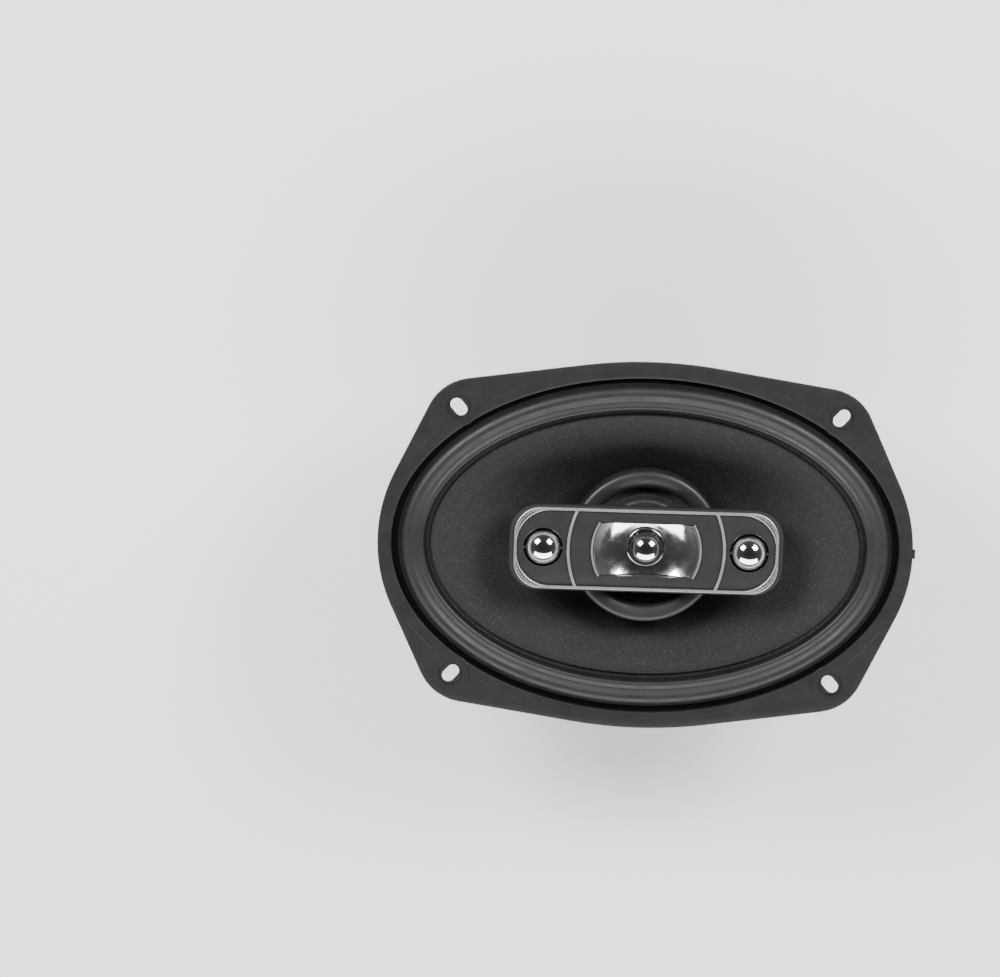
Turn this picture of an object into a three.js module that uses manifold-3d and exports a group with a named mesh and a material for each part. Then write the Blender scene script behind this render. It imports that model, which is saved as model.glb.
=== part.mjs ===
// A 6 x 9 inch five-way coaxial car speaker, in millimetres.
// +Z runs along the speaker's axis out of its front, +X along the long side of its frame.
// The origin is the centre of the magnet boot's rear face, so the speaker stands on its boot.
import * as THREE from "three";
import { mergeVertices } from "three/addons/utils/BufferGeometryUtils.js";
import Module from "manifold-3d";

const wasm = await Module();
wasm.setup();

// ---- Driving dimensions ------------------------------------------------------------------
const GAP = 0.3; // clearance kept between pieces that touch
const OVAL_STEPS = 48; // facets round an oval
const ROUND_STEPS = 24; // facets round a turned piece
const SMALL_STEPS = 12; // facets round a screw, a hole or a wire

const FLANGE = { halfLength: 118.2, halfWidth: 82.1, front: 82, thickness: 2, edge: 1.4 };
// The frame's outline is made of arcs that share tangents: an end arc, an ear and a side arc.
const END_ARC = { radius: 70, toNormal: 25.4 };
const EAR = { x: 77.3, y: 50.7, radius: 22 };
const SIDE_ARC = { radius: 205, fromNormal: 81.6 };
const SLOT = { x: 84.1, y: 59.75, width: 5.9, length: 8.9, angle: 48, recess: 5.25, recessDepth: 0.6 };
const KEY_TAB = { width: 4, proud: 1 };

const RIM = { rx: 112.1, ry: 74.8 }; // front opening of the frame
const LEDGE_TOP = 79; // seat of the surround, 3 mm below the front
const SHEET = 1.25; // steel sheet of the basket
const SURROUND = { rx: 109, ry: 72.3, width: 13.6, sheet: 0.8 };
const LIP = { width: 4.6, top: 79 }; // flat outer band of the cone
const CONE = { neckRadius: 13.9, neckZ: 42.6, rimRx: 89.7, rimRy: 54.5, rimZ: 78.2, sheet: 0.9, flare: 1.25 };

const BOOT = { radius: 46, wall: 2, height: 36, floor: 2 };
const YOKE = { radius: 38, bottom: 4.6, top: 9, poleRadius: 12.1, poleTop: 31, bore: 3.3 };
const MAGNET = { radius: 41, bore: 22, bottom: 9.3, top: 25.1 };
const TOP_PLATE = { radius: 38, bore: 14.6, bottom: 25.4, top: 30 };
const BASKET_FLOOR = 30.3;
const SPIDER_SEAT = 38.2;
const FORMER = { inner: 12.7, outer: 13.1, bottom: 22, top: 44 };
const WINDING = { inner: 13.4, outer: 14, bottom: 24, top: 33 };
const RIVET = { circle: 27, shank: 1.8, head: 3.4 };

const POST = { shank: 3, bore: 1.8, radius: 7, bottom: 4.9, shoulder: 31.3, top: 62, flange: 14 };
const MID = { radius: 33.8, wall: 1.6, floor: 62.3, seam: 77.7, opening: 25.8, top: 83 };
const BRIDGE = { halfLength: 60.4, halfWidth: 19.1, corner: 13, bottom: 86.3, top: 91 };
const POD = { x: 46.5, halfLength: 11.6, halfWidth: 16, corner: 6, bottom: 79.9 };
const SUPER = { x: 45.3, recess: 9.3, ball: 7.8 };
const TRIM = { halfLength: 58.2, halfWidth: 18.1, corner: 12, line: 1.3, innerCorner: 14.6, height: 0.7 };
const DISH = { lip: 8.5, throat: 9.9, rim: 23.6, halfHeight: 11.8 };
const BRIDGE_SCREW_X = 29.9;

// ---- Helpers -------------------------------------------------------------------------------
const radians = (degrees) => (degrees * Math.PI) / 180;
const lerp = (a, b, t) => a + (b - a) * t;

function signedArea(points) {
  return points.reduce((sum, [x, y], i) => {
    const [nextX, nextY] = points[(i + 1) % points.length];
    return sum + (x * nextY - nextX * y) / 2;
  }, 0);
}

// A closed mesh as a manifold solid.
function solid(geometry) {
  const bare = geometry.clone();
  bare.deleteAttribute("normal");
  bare.deleteAttribute("uv");
  const merged = mergeVertices(bare, 1e-4);
  return new wasm.Manifold(
    new wasm.Mesh({
      numProp: 3,
      vertProperties: new Float32Array(merged.attributes.position.array),
      triVerts: new Uint32Array(merged.index.array),
    }),
  );
}

// A manifold solid as a geometry that three.js draws.
function geometryOf(made) {
  const mesh = made.getMesh();
  const geometry = new THREE.BufferGeometry();
  const positions = new Float32Array(mesh.numVert * 3);
  for (let i = 0; i < mesh.numVert; i++) {
    const start = i * mesh.numProp;
    positions.set(mesh.vertProperties.subarray(start, start + 3), i * 3);
  }
  geometry.setAttribute("position", new THREE.BufferAttribute(positions, 3));
  geometry.setIndex(new THREE.BufferAttribute(new Uint32Array(mesh.triVerts), 1));
  return geometry;
}

const cut = (body, ...tools) => {
  const left = tools.reduce((rest, tool) => rest.subtract(solid(tool)), solid(body));
  return geometryOf(left);
};
const join = (...bodies) => geometryOf(bodies.map(solid).reduce((all, body) => all.add(body)));
const overlap = (a, b) => geometryOf(solid(a).intersect(solid(b)));

// A body turned about Z from a profile of [radius, z] points, closed on itself or on the axis.
function turned(profile, steps = ROUND_STEPS) {
  const loop = signedArea(profile) < 0 ? [...profile].reverse() : [...profile];
  const open = loop.every(([radius]) => radius > 0);
  const onAxis = loop.findIndex(([radius], i) => radius === 0 && loop[(i + 1) % loop.length][0] > 0);
  const ordered = open ? [...loop, loop[0]] : [...loop.slice(onAxis), ...loop.slice(0, onAxis)];
  const points = ordered.map(([radius, z]) => new THREE.Vector2(radius, z));
  return new THREE.LatheGeometry(points, steps).rotateX(Math.PI / 2);
}

// A ring whose profile points [rx, ry, z] each run round an ellipse of their own.
function ovalRing(profile, steps = OVAL_STEPS) {
  const flat = profile.map(([rx, , z]) => [rx, z]);
  const loop = signedArea(flat) < 0 ? [...profile].reverse() : [...profile];
  const closed = [...loop, loop[0]];
  const points = closed.map(([rx, , z]) => new THREE.Vector2(rx, z));
  const geometry = new THREE.LatheGeometry(points, steps).rotateX(Math.PI / 2);
  const position = geometry.attributes.position;
  for (let i = 0; i < position.count; i++) {
    const [rx, ry] = closed[i % closed.length];
    position.setY(i, (position.getY(i) * ry) / rx);
  }
  return geometry;
}

// The closed profile of a sheet of even thickness, from the points of its middle line.
function sheetProfile(line, thickness) {
  const side = (sign) =>
    line.map(([rx, ry, z], i) => {
      const [beforeRx, beforeRy, beforeZ] = line[Math.max(i - 1, 0)];
      const [afterRx, afterRy, afterZ] = line[Math.min(i + 1, line.length - 1)];
      const along = (afterRx + afterRy - beforeRx - beforeRy) / 2;
      const up = afterZ - beforeZ;
      const shift = (sign * thickness) / 2 / Math.hypot(along, up);
      return [rx - up * shift, ry - up * shift, z + along * shift];
    });
  return [...side(1), ...side(-1).reverse()];
}

function extruded(shape, bottom, top, curveSegments = 6) {
  const options = { depth: top - bottom, bevelEnabled: false, curveSegments };
  return new THREE.ExtrudeGeometry(shape, options).translate(0, 0, bottom);
}

const cylinder = (x, y, radius, bottom, top, steps = SMALL_STEPS) =>
  new THREE.CylinderGeometry(radius, radius, top - bottom, steps)
    .rotateX(Math.PI / 2)
    .translate(x, y, (bottom + top) / 2);

const box = (x, y, bottom, top, lengthX, lengthY) =>
  new THREE.BoxGeometry(lengthX, lengthY, top - bottom).translate(x, y, (bottom + top) / 2);

function roundedRectangle(halfLength, halfWidth, radius) {
  const shape = new THREE.Shape();
  const [x, y] = [halfLength - radius, halfWidth - radius];
  shape.absarc(x, y, radius, 0, Math.PI / 2);
  shape.absarc(-x, y, radius, Math.PI / 2, Math.PI);
  shape.absarc(-x, -y, radius, Math.PI, 1.5 * Math.PI);
  shape.absarc(x, -y, radius, 1.5 * Math.PI, 2 * Math.PI);
  return shape;
}

// A straight slot with round ends, its length along the X axis.
function slotShape(length, width) {
  const [half, radius] = [(length - width) / 2, width / 2];
  const shape = new THREE.Shape();
  shape.absarc(half, 0, radius, -Math.PI / 2, Math.PI / 2);
  shape.absarc(-half, 0, radius, Math.PI / 2, 1.5 * Math.PI);
  return shape;
}

// A band of even width that follows an arc between two angles.
function arcBand(centreX, radius, width, from, to) {
  const shape = new THREE.Shape();
  shape.absarc(centreX, 0, radius + width / 2, from, to, false);
  shape.absarc(centreX, 0, radius - width / 2, to, from, true);
  return shape;
}

// A wire: a small round section swept along a smooth path.
function wire(points, radius, steps) {
  const path = new THREE.CatmullRomCurve3(points.map((point) => new THREE.Vector3(...point)));
  const section = new THREE.Shape().absarc(0, 0, radius, 0, 2 * Math.PI);
  return new THREE.ExtrudeGeometry(section, { steps, curveSegments: 4, extrudePath: path });
}

// ---- The frame's outline -------------------------------------------------------------------
// Each arc covers a span of outward normals, and the straight edges fall between the arcs.
function flangeOutline(inset = 0) {
  const quarter = [];
  const addArc = (x, y, radius, fromDegrees, toDegrees, steps) => {
    for (let i = 0; i <= steps; i++) {
      const normal = radians(lerp(fromDegrees, toDegrees, i / steps));
      quarter.push([x + (radius - inset) * Math.cos(normal), y + (radius - inset) * Math.sin(normal)]);
    }
  };
  addArc(FLANGE.halfLength - END_ARC.radius, 0, END_ARC.radius, 0, END_ARC.toNormal, 4);
  addArc(EAR.x, EAR.y, EAR.radius, END_ARC.toNormal, SIDE_ARC.fromNormal, 6);
  addArc(0, FLANGE.halfWidth - SIDE_ARC.radius, SIDE_ARC.radius, SIDE_ARC.fromNormal, 90, 3);
  const mirrored = (signX, signY) => quarter.map(([x, y]) => [signX * x, signY * y]);
  const loop = [
    ...mirrored(1, 1),
    ...mirrored(-1, 1).reverse(),
    ...mirrored(-1, -1),
    ...mirrored(1, -1).reverse(),
  ];
  return loop.filter(([x, y], i) => {
    const [nextX, nextY] = loop[(i + 1) % loop.length];
    return Math.hypot(nextX - x, nextY - y) > 0.01;
  });
}

// A plate with the frame's outline and a bevelled front edge.
function flangePlate() {
  const rear = FLANGE.front - FLANGE.thickness;
  const levels = [
    [0, rear],
    [0, FLANGE.front - 0.9],
    [FLANGE.edge, FLANGE.front],
  ];
  const rings = levels.map(([inset, z]) => flangeOutline(inset).map(([x, y]) => [x, y, z]));
  const count = rings[0].length;
  const positions = [...rings.flat(), [0, 0, rear], [0, 0, FLANGE.front]].flat();
  const index = [];
  for (let i = 0; i < count; i++) {
    const next = (i + 1) % count;
    for (let level = 0; level < levels.length - 1; level++) {
      const [low, high] = [level * count, (level + 1) * count];
      index.push(low + i, low + next, high + next, low + i, high + next, high + i);
    }
    const [last, rearCentre] = [(levels.length - 1) * count, levels.length * count];
    index.push(next, i, rearCentre, last + i, last + next, rearCentre + 1);
  }
  const plate = new THREE.BufferGeometry();
  plate.setAttribute("position", new THREE.Float32BufferAttribute(positions, 3));
  plate.setIndex(index);
  return plate;
}

// ---- Basket ----------------------------------------------------------------------------------
// The middle line of the basket's sheet, from the floor's hole to the wall under the flange.
function basketProfile() {
  const floor = BASKET_FLOOR + SHEET / 2;
  const seat = SPIDER_SEAT - SHEET / 2;
  const ledge = LEDGE_TOP - SHEET / 2;
  const line = [
    [19, 19, floor],
    [34.6, 34.6, floor],
    [36.8, 36.8, floor + 1.6],
    [38, 38, seat],
    [44.4, 44.4, seat],
    [46, 46, seat + 0.9],
    [62.1, 51.9, 44.7],
    [83.9, 60, 55.8],
    [99.3, 66, 66.9],
    [105, 67.8, ledge - 1],
    [106.2, 69, ledge],
    [RIM.rx + 0.55, RIM.ry + 0.55, ledge],
    [RIM.rx + 0.55, RIM.ry + 0.55, FLANGE.front - 0.6],
  ];
  return sheetProfile(line, SHEET);
}

// Plan of one window between two legs. The corners are rounded, and it is punched along Z.
function windowShape(from, to) {
  const inner = { rx: 54, ry: 50 };
  const outer = { rx: 98.5, ry: 65.2 };
  const at = (across, degrees) => [
    lerp(inner.rx, outer.rx, across) * Math.cos(radians(degrees)),
    lerp(inner.ry, outer.ry, across) * Math.sin(radians(degrees)),
  ];
  const [turn, step, run] = [5, 0.16, 5];
  const shape = new THREE.Shape();
  shape.moveTo(...at(step, from));
  shape.lineTo(...at(1 - step, from));
  shape.quadraticCurveTo(...at(1, from), ...at(1, from + turn));
  for (let i = 1; i <= run; i++) shape.lineTo(...at(1, lerp(from + turn, to - turn, i / run)));
  shape.quadraticCurveTo(...at(1, to), ...at(1 - step, to));
  shape.lineTo(...at(step, to));
  shape.quadraticCurveTo(...at(0, to), ...at(0, to - turn));
  for (let i = 1; i <= run; i++) shape.lineTo(...at(0, lerp(to - turn, from + turn, i / run)));
  shape.quadraticCurveTo(...at(0, from), ...at(step, from));
  return shape;
}

// Two windows as their first and last angle; the other two are opposite them.
const WINDOWS = [
  [13, 76],
  [104, 167],
];

const CORNERS = [
  [1, 1],
  [-1, 1],
  [-1, -1],
  [1, -1],
];

const RIVET_PLACES = CORNERS.map(([signX, signY]) => [
  signX * RIVET.circle * Math.SQRT1_2,
  signY * RIVET.circle * Math.SQRT1_2,
]);

// The terminal block sits on the outside of the leg on the -Y side, square to its slope.
const LEG = { y: -56.5, z: 49.7, slope: Math.atan2(11.1, 8.1) };
const TERMINAL_X = 9;
const TERMINAL_RIVET_X = 15.5;

// Moves a body made about Z, with +Z pointing out of the leg, to its place on the leg.
const onLeg = (geometry, x) => geometry.rotateX(Math.PI - LEG.slope).translate(x, LEG.y, LEG.z);

function basket() {
  const opening = new THREE.Shape().absellipse(0, 0, RIM.rx, RIM.ry, 0, 2 * Math.PI);
  const rear = FLANGE.front - FLANGE.thickness;
  const plate = cut(flangePlate(), extruded(opening, rear - 1, FLANGE.front + 1, OVAL_STEPS / 2));
  const tab = box(FLANGE.halfLength - 1, 0, rear, FLANGE.front - 0.7, 2 + 2 * KEY_TAB.proud, KEY_TAB.width);
  const tools = [];
  for (const [signX, signY] of CORNERS) {
    const slot = extruded(slotShape(SLOT.length, SLOT.width), rear - 1, FLANGE.front + 1, 6);
    slot.rotateZ(radians(SLOT.angle) * signX * signY).translate(signX * SLOT.x, signY * SLOT.y, 0);
    tools.push(slot);
    const recessFloor = FLANGE.front - SLOT.recessDepth;
    tools.push(cylinder(signX * SLOT.x, signY * SLOT.y, SLOT.recess, recessFloor, FLANGE.front + 1, 16));
  }
  for (const [from, to] of WINDOWS) {
    const window = extruded(windowShape(from, to), SPIDER_SEAT, LEDGE_TOP - 6, 3);
    tools.push(window, window.clone().rotateZ(Math.PI));
  }
  for (const [x, y] of RIVET_PLACES) {
    tools.push(cylinder(x, y, RIVET.shank + GAP, BASKET_FLOOR - 1, BASKET_FLOOR + 3, 12));
  }
  for (const sign of [-1, 1]) {
    tools.push(onLeg(cylinder(0, 0, 1.5 + GAP, -4, 4, 12), sign * TERMINAL_RIVET_X));
    tools.push(onLeg(cylinder(0, 0, 2, -4, 4, 12), sign * TERMINAL_X));
  }
  return cut(join(plate, tab, ovalRing(basketProfile())), ...tools);
}

// ---- Woofer --------------------------------------------------------------------------------
// Two half rolls side by side. Distances run inwards from the outer edge.
function surround() {
  const foot = LEDGE_TOP + GAP + SURROUND.sheet / 2;
  const line = [
    [0, 0],
    [1.9, 0],
    [3, 2.2],
    [4.9, 3.4],
    [7.9, 1.5],
    [10.2, 2.8],
    [12, 1.2],
    [12.5, 0],
    [SURROUND.width, 0],
  ];
  const places = line.map(([inward, rise]) => [SURROUND.rx - inward, SURROUND.ry - inward, foot + rise]);
  return ovalRing(sheetProfile(places, SURROUND.sheet));
}

function cone() {
  const lipMiddle = LIP.top - CONE.sheet / 2;
  const line = [];
  line.push([CONE.neckRadius, CONE.neckRadius, CONE.neckZ - 1]);
  const steps = 5;
  for (let i = 0; i <= steps; i++) {
    const t = i / steps;
    const rise = 1 - (1 - t) ** CONE.flare;
    line.push([
      lerp(CONE.neckRadius, CONE.rimRx, t),
      lerp(CONE.neckRadius, CONE.rimRy, t),
      lerp(CONE.neckZ, CONE.rimZ, rise),
    ]);
  }
  line.push([CONE.rimRx + 0.9, CONE.rimRy + 0.9, lipMiddle]);
  line.push([CONE.rimRx + 0.9 + LIP.width, CONE.rimRy + 0.9 + LIP.width, lipMiddle]);
  return ovalRing(sheetProfile(line, CONE.sheet));
}

function spider() {
  const middle = SPIDER_SEAT + GAP + 0.35;
  const line = [[14.6, 0]];
  const waves = 4;
  const [from, to, height] = [17, 38.5, 0.9];
  for (let i = 0; i <= waves * 2; i++) {
    line.push([lerp(from, to, i / (waves * 2)), i === 0 || i === waves * 2 ? 0 : i % 2 ? height : 0]);
  }
  line.push([42.8, 0]);
  const places = [[FORMER.outer + GAP + 0.2, 0], ...line].map(([r, rise]) => [r, r, middle + rise]);
  return ovalRing(sheetProfile(places, 0.6), 28);
}

const tube = (inner, outer, bottom, top, steps = ROUND_STEPS) =>
  turned(
    [
      [inner, bottom],
      [outer, bottom],
      [outer, top],
      [inner, top],
    ],
    steps,
  );

// The leads hang in a slack curve between the terminals and the voice coil's former.
function tinselLead(side) {
  const route = [
    [side * TERMINAL_X, LEG.y - 0.4, LEG.z - 0.2],
    [side * 8.8, -52, 50.6],
    [side * 8.2, -44, 46.5],
    [side * 7, -34, 42.6],
    [side * 5.6, -24, 42],
    [side * 4.2, -16.6, 41.3],
  ];
  return wire(route, 0.55, 12);
}

// ---- Magnet system ---------------------------------------------------------------------------
function backPlateAndPole() {
  const { radius, bottom, top, poleRadius, poleTop, bore } = YOKE;
  return turned([
    [6.4, bottom],
    [radius - 1, bottom],
    [radius, bottom + 1],
    [radius, top],
    [poleRadius, top],
    [poleRadius, poleTop - 1],
    [poleRadius - 1, poleTop],
    [bore, poleTop],
    [bore, bottom + 2.7],
    [6.4, bottom + 2.7],
  ]);
}

function topPlate() {
  const plate = tube(TOP_PLATE.bore, TOP_PLATE.radius, TOP_PLATE.bottom, TOP_PLATE.top);
  const holes = RIVET_PLACES.map(([x, y]) =>
    cylinder(x, y, RIVET.shank + GAP, TOP_PLATE.bottom - 1, TOP_PLATE.top + 1, 12),
  );
  return cut(plate, ...holes);
}

function rivet([x, y]) {
  const headBottom = BASKET_FLOOR + SHEET + GAP;
  const profile = [
    [0, TOP_PLATE.bottom + 0.4],
    [RIVET.shank, TOP_PLATE.bottom + 0.4],
    [RIVET.shank, headBottom],
    [RIVET.head, headBottom],
    [RIVET.head * 0.8, headBottom + 1.2],
    [0, headBottom + 1.9],
  ];
  return turned(profile, 12).translate(x, y, 0);
}

// A moulded cup with four groups of upright fins, and a notch for the tweeter cable.
function magnetBoot() {
  const { radius, wall, height, floor } = BOOT;
  const cup = turned(
    [
      [0, 0],
      [radius - 1.5, 0],
      [radius, 1.5],
      [radius, height - 1],
      [radius - 0.6, height],
      [radius - wall, height],
      [radius - wall, floor],
      [0, floor],
    ],
    48,
  );
  const fins = [];
  for (let group = 0; group < 4; group++) {
    for (const offset of [-1, 0, 1]) {
      const fin = box(radius + 0.4, 0, 1.2, height - 2, 3.2, 1.6);
      fins.push(fin.rotateZ(radians(45 + group * 90 + offset * 14)));
    }
  }
  const notch = box(0, -radius, height - 6, height + 1, 4, 8);
  return cut(join(cup, ...fins), notch);
}

// ---- Terminals and wiring ------------------------------------------------------------------------
// The block is a short prism along X. Its inner face lies along the slope of the leg.
const BLOCK = { halfLength: 20, thickness: 5.2, halfHeight: 6.5, clear: SHEET / 2 + GAP };

function terminalBlock() {
  const body = new THREE.BoxGeometry(2 * BLOCK.halfLength, 2 * BLOCK.halfHeight, BLOCK.thickness);
  body.translate(0, 0, BLOCK.clear + BLOCK.thickness / 2);
  const reach = BLOCK.clear + BLOCK.thickness;
  const tools = [-1, 1].flatMap((side) => [
    cylinder(side * TERMINAL_RIVET_X, 0, 1.5 + GAP, -1, reach + 1, 12),
    cylinder(side * TERMINAL_X, 0, 1.3, -1, reach - 2.6, 12),
    new THREE.BoxGeometry(bladeWidth(side) + 2 * GAP, 9, 0.8 + 2 * GAP).translate(
      side * TERMINAL_X,
      -BLOCK.halfHeight + 2,
      reach - 2.2,
    ),
  ]);
  return onLeg(cut(body, ...tools), 0);
}

// The positive blade is the wide one and the negative blade the narrow one.
const bladeWidth = (side) => (side > 0 ? 6.3 : 4.8);

function terminalBlade(side) {
  const half = bladeWidth(side) / 2;
  const [inner, outer, taper] = [-BLOCK.halfHeight + 6, -BLOCK.halfHeight - 9, 1.2];
  const shape = new THREE.Shape();
  shape.moveTo(-half, inner);
  shape.lineTo(half, inner);
  shape.lineTo(half, outer + taper);
  shape.lineTo(half - taper, outer);
  shape.lineTo(-half + taper, outer);
  shape.lineTo(-half, outer + taper);
  shape.closePath();
  shape.holes.push(new THREE.Path().absarc(0, outer + 3.6, 0.8, 0, 2 * Math.PI));
  const middle = BLOCK.clear + BLOCK.thickness - 2.2;
  return onLeg(extruded(shape, middle - 0.4, middle + 0.4, 4), side * TERMINAL_X);
}

function terminalRivet(side) {
  const reach = BLOCK.clear + BLOCK.thickness + GAP;
  const profile = [
    [0, -1.6],
    [1.5, -1.6],
    [1.5, reach],
    [2.8, reach],
    [2.2, reach + 1],
    [0, reach + 1.4],
  ];
  return onLeg(turned(profile, 12), side * TERMINAL_RIVET_X);
}

// A film capacitor that lies on the terminal block, across its middle.
function capacitor() {
  const lift = BLOCK.clear + BLOCK.thickness + GAP;
  const body = extruded(roundedRectangle(6, 4, 2), lift, lift + 5, 3);
  return onLeg(body.translate(0, 1.5, 0), 0);
}

// The cable runs up the hollow post, out under the back plate and up to the terminal block.
function tweeterCable() {
  const outer = MAGNET.radius + 1.55;
  const under = BOOT.floor + 1.3;
  const route = [
    [0, 0, MID.floor + 1.6],
    [0, 0, 45],
    [0, 0, 25],
    [0, 0, 8],
    [0, -0.1, 5.9],
    [0, -0.9, 4.2],
    [0, -3, under + 0.1],
    [0, -6, under],
    [0, -20, under],
    [0, -outer + 5, under],
    [0, -outer + 1.3, under + 1.3],
    [0, -outer, under + 5],
    [0, -outer, 20],
    [0, -outer, 29],
    [0, -outer - 1, 32.8],
    [0, -47.4, 34.9],
    [0, -52.2, 38],
    [0, -55, 41.5],
  ];
  return wire(route, 0.9, 28);
}

// ---- Tweeter post and midrange ---------------------------------------------------------------------
function tweeterPost() {
  const { shank, bore, radius, bottom, shoulder, top, flange } = POST;
  return turned(
    [
      [bore, bottom + 5],
      [bore + 0.8, bottom],
      [shank, bottom],
      [shank, shoulder],
      [radius, shoulder],
      [radius, top - 5],
      [flange, top - 2],
      [flange, top],
      [bore, top],
    ],
    24,
  );
}

function postNut() {
  const [bottom, top] = [YOKE.bottom + 0.2, YOKE.bottom + 2.4];
  const nut = cylinder(0, 0, 5.4, bottom, top, 6);
  return cut(nut, cylinder(0, 0, POST.shank + 0.2, bottom - 1, top + 1));
}

function midHousing() {
  const { radius, wall, floor, seam } = MID;
  return turned([
    [2, floor],
    [22, floor],
    [24, floor + 0.6],
    [radius - 0.8, 70.5],
    [radius, 72.5],
    [radius, seam],
    [radius - wall, seam],
    [radius - wall, 72],
    [23.3, floor + 2.3],
    [2, floor + 2.3],
  ], 32);
}

function midBezel() {
  const { radius, opening, seam, top } = MID;
  const ring = turned([
    [opening, seam + GAP],
    [radius, seam + GAP],
    [radius, top - 2],
    [radius - 0.8, top - 0.7],
    [radius - 2.3, top],
    [radius - 3.8, top - 0.1],
    [opening + 1.2, top - 2.6],
    [opening, top - 3.8],
  ], 32);
  const holes = [-1, 1].map((side) => cylinder(side * BRIDGE_SCREW_X, 0, 1.5, seam - 1, top + 1, 12));
  return cut(ring, ...holes);
}

const midMotorFloor = MID.floor + 2.6;

function midYoke() {
  return turned([
    [0, midMotorFloor],
    [14, midMotorFloor],
    [14, midMotorFloor + 6.6],
    [11.6, midMotorFloor + 6.6],
    [11.6, midMotorFloor + 2],
    [0, midMotorFloor + 2],
  ]);
}

// The middle line of the midrange diaphragm: a dome, a shallow cone and a flat rim.
function midDiaphragm() {
  const top = [
    [0, 75.4],
    [4, 75.1],
    [7.6, 74.4],
    [10.4, 73.6],
    [11.6, 73.4],
    [18, 74.3],
    [24, 75.4],
    [25.6, 75.9],
    [27.3, 75.9],
  ];
  const bottom = top.map(([radius, z]) => [radius, z - 0.5]).reverse();
  return turned([...top, ...bottom]);
}

// ---- Bridge ------------------------------------------------------------------------------------------
// The concave dish that surrounds the tweeter, as radius and height from its throat to its rim.
const DISH_BOWL = [
  [DISH.throat, 84.2],
  [14, 85.3],
  [18.5, 87.3],
  [DISH.rim, BRIDGE.top],
];

const clipAcross = (geometry, halfHeight) => overlap(geometry, box(0, 0, 70, 110, 60, 2 * halfHeight));

function bridgeHousing() {
  const outline = roundedRectangle(BRIDGE.halfLength, BRIDGE.halfWidth, BRIDGE.corner);
  const slab = extruded(outline, BRIDGE.bottom, BRIDGE.top);
  const shell = DISH_BOWL.slice(0, 3).map(([radius, z]) => [radius + 0.8, z - 1.1]);
  const collar = turned([
    [DISH.throat, 78],
    [DISH.throat + 1.3, 78],
    ...shell,
    [DISH.rim, BRIDGE.bottom + 1],
    [DISH.throat, BRIDGE.bottom + 1],
  ]);
  const bosses = [-1, 1].map((side) =>
    cylinder(side * BRIDGE_SCREW_X, 0, 2.7, MID.top + GAP, BRIDGE.bottom + 1, 16),
  );
  const pods = [-1, 1].map((side) =>
    extruded(roundedRectangle(POD.halfLength, POD.halfWidth, POD.corner), POD.bottom, BRIDGE.bottom + 1, 4)
      .translate(side * POD.x, 0, 0),
  );
  const bowl = turned([[0, 84.2], ...DISH_BOWL, [DISH.rim, 95], [0, 95]], 36);
  const tools = [clipAcross(bowl, DISH.halfHeight), cylinder(0, 0, DISH.throat, 77, 85, ROUND_STEPS)];
  for (const side of [-1, 1]) {
    tools.push(cylinder(side * SUPER.x, 0, SUPER.recess, POD.bottom - 1, BRIDGE.top + 1, ROUND_STEPS));
    tools.push(cylinder(side * BRIDGE_SCREW_X, 0, 1.5, MID.top, BRIDGE.top - 1.5, 12));
  }
  return cut(join(slab, clipAcross(collar, BRIDGE.halfWidth - 1), ...bosses, ...pods), ...tools);
}

const podCover = (side) =>
  extruded(roundedRectangle(POD.halfLength, POD.halfWidth, POD.corner), POD.bottom - 1.9, POD.bottom - GAP, 4)
    .translate(side * POD.x, 0, 0);

function bridgeScrew(side) {
  const head = MID.seam;
  const profile = [
    [0, head - 1.8],
    [2, head - 1.8],
    [2, head],
    [1.2, head],
    [1.2, BRIDGE.top - 2],
    [0, BRIDGE.top - 2],
  ];
  return turned(profile, 12).translate(side * BRIDGE_SCREW_X, 0, 0);
}

const TRIM_BOTTOM = BRIDGE.top + GAP;
const ZONE_ARC = { x: 34.3, sagitta: 3.7 };
const DISH_ARC = { radius: 23.9, width: 1.1, halfHeight: 12 };

// The bright border line, thick at the corners, with an upright arc between each pair of zones.
function bridgeTrim() {
  const { halfLength, halfWidth, corner, line, innerCorner, height } = TRIM;
  const border = roundedRectangle(halfLength, halfWidth, corner);
  border.holes.push(roundedRectangle(halfLength - line, halfWidth - line, innerCorner));
  const chord = halfWidth - line / 2;
  const radius = (chord ** 2 + ZONE_ARC.sagitta ** 2) / (2 * ZONE_ARC.sagitta);
  const reach = Math.asin(chord / radius);
  const right = extruded(
    arcBand(ZONE_ARC.x - radius, radius, line, -reach, reach),
    TRIM_BOTTOM,
    TRIM_BOTTOM + height,
    8,
  );
  const left = right.clone().rotateZ(Math.PI);
  return join(extruded(border, TRIM_BOTTOM, TRIM_BOTTOM + height), left, right);
}

function dishTrim(side) {
  const { radius, width, halfHeight } = DISH_ARC;
  const reach = Math.asin(halfHeight / radius);
  const band = extruded(
    arcBand(0, radius, width, -reach, reach),
    TRIM_BOTTOM,
    TRIM_BOTTOM + TRIM.height,
    8,
  );
  return side > 0 ? band : band.rotateZ(Math.PI);
}

// ---- Tweeter -------------------------------------------------------------------------------------------
function tweeterYoke() {
  return turned([
    [0, 77],
    [9.5, 77],
    [9.5, 81.6],
    [8.3, 81.6],
    [8.3, 78],
    [0, 78],
  ]);
}

function tweeterDome() {
  const top = [
    [0, 83.6],
    [3, 83.45],
    [5.6, 83.1],
    [7.6, 82.7],
    [9.2, 82.75],
  ];
  const bottom = top.map(([radius, z]) => [radius, z - 0.35]).reverse();
  return turned([...top, ...bottom], 24);
}

function tweeterReflector() {
  const bowl = [[DISH.lip, DISH_BOWL[0][1] - 0.35], ...DISH_BOWL];
  const under = bowl.map(([radius, z]) => [radius - 0.35, z + 0.3]);
  const face = bowl.map(([radius, z]) => [radius - 0.75, z + 0.95]).reverse();
  return clipAcross(turned([...under, ...face], 36), DISH.halfHeight - GAP);
}

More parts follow.
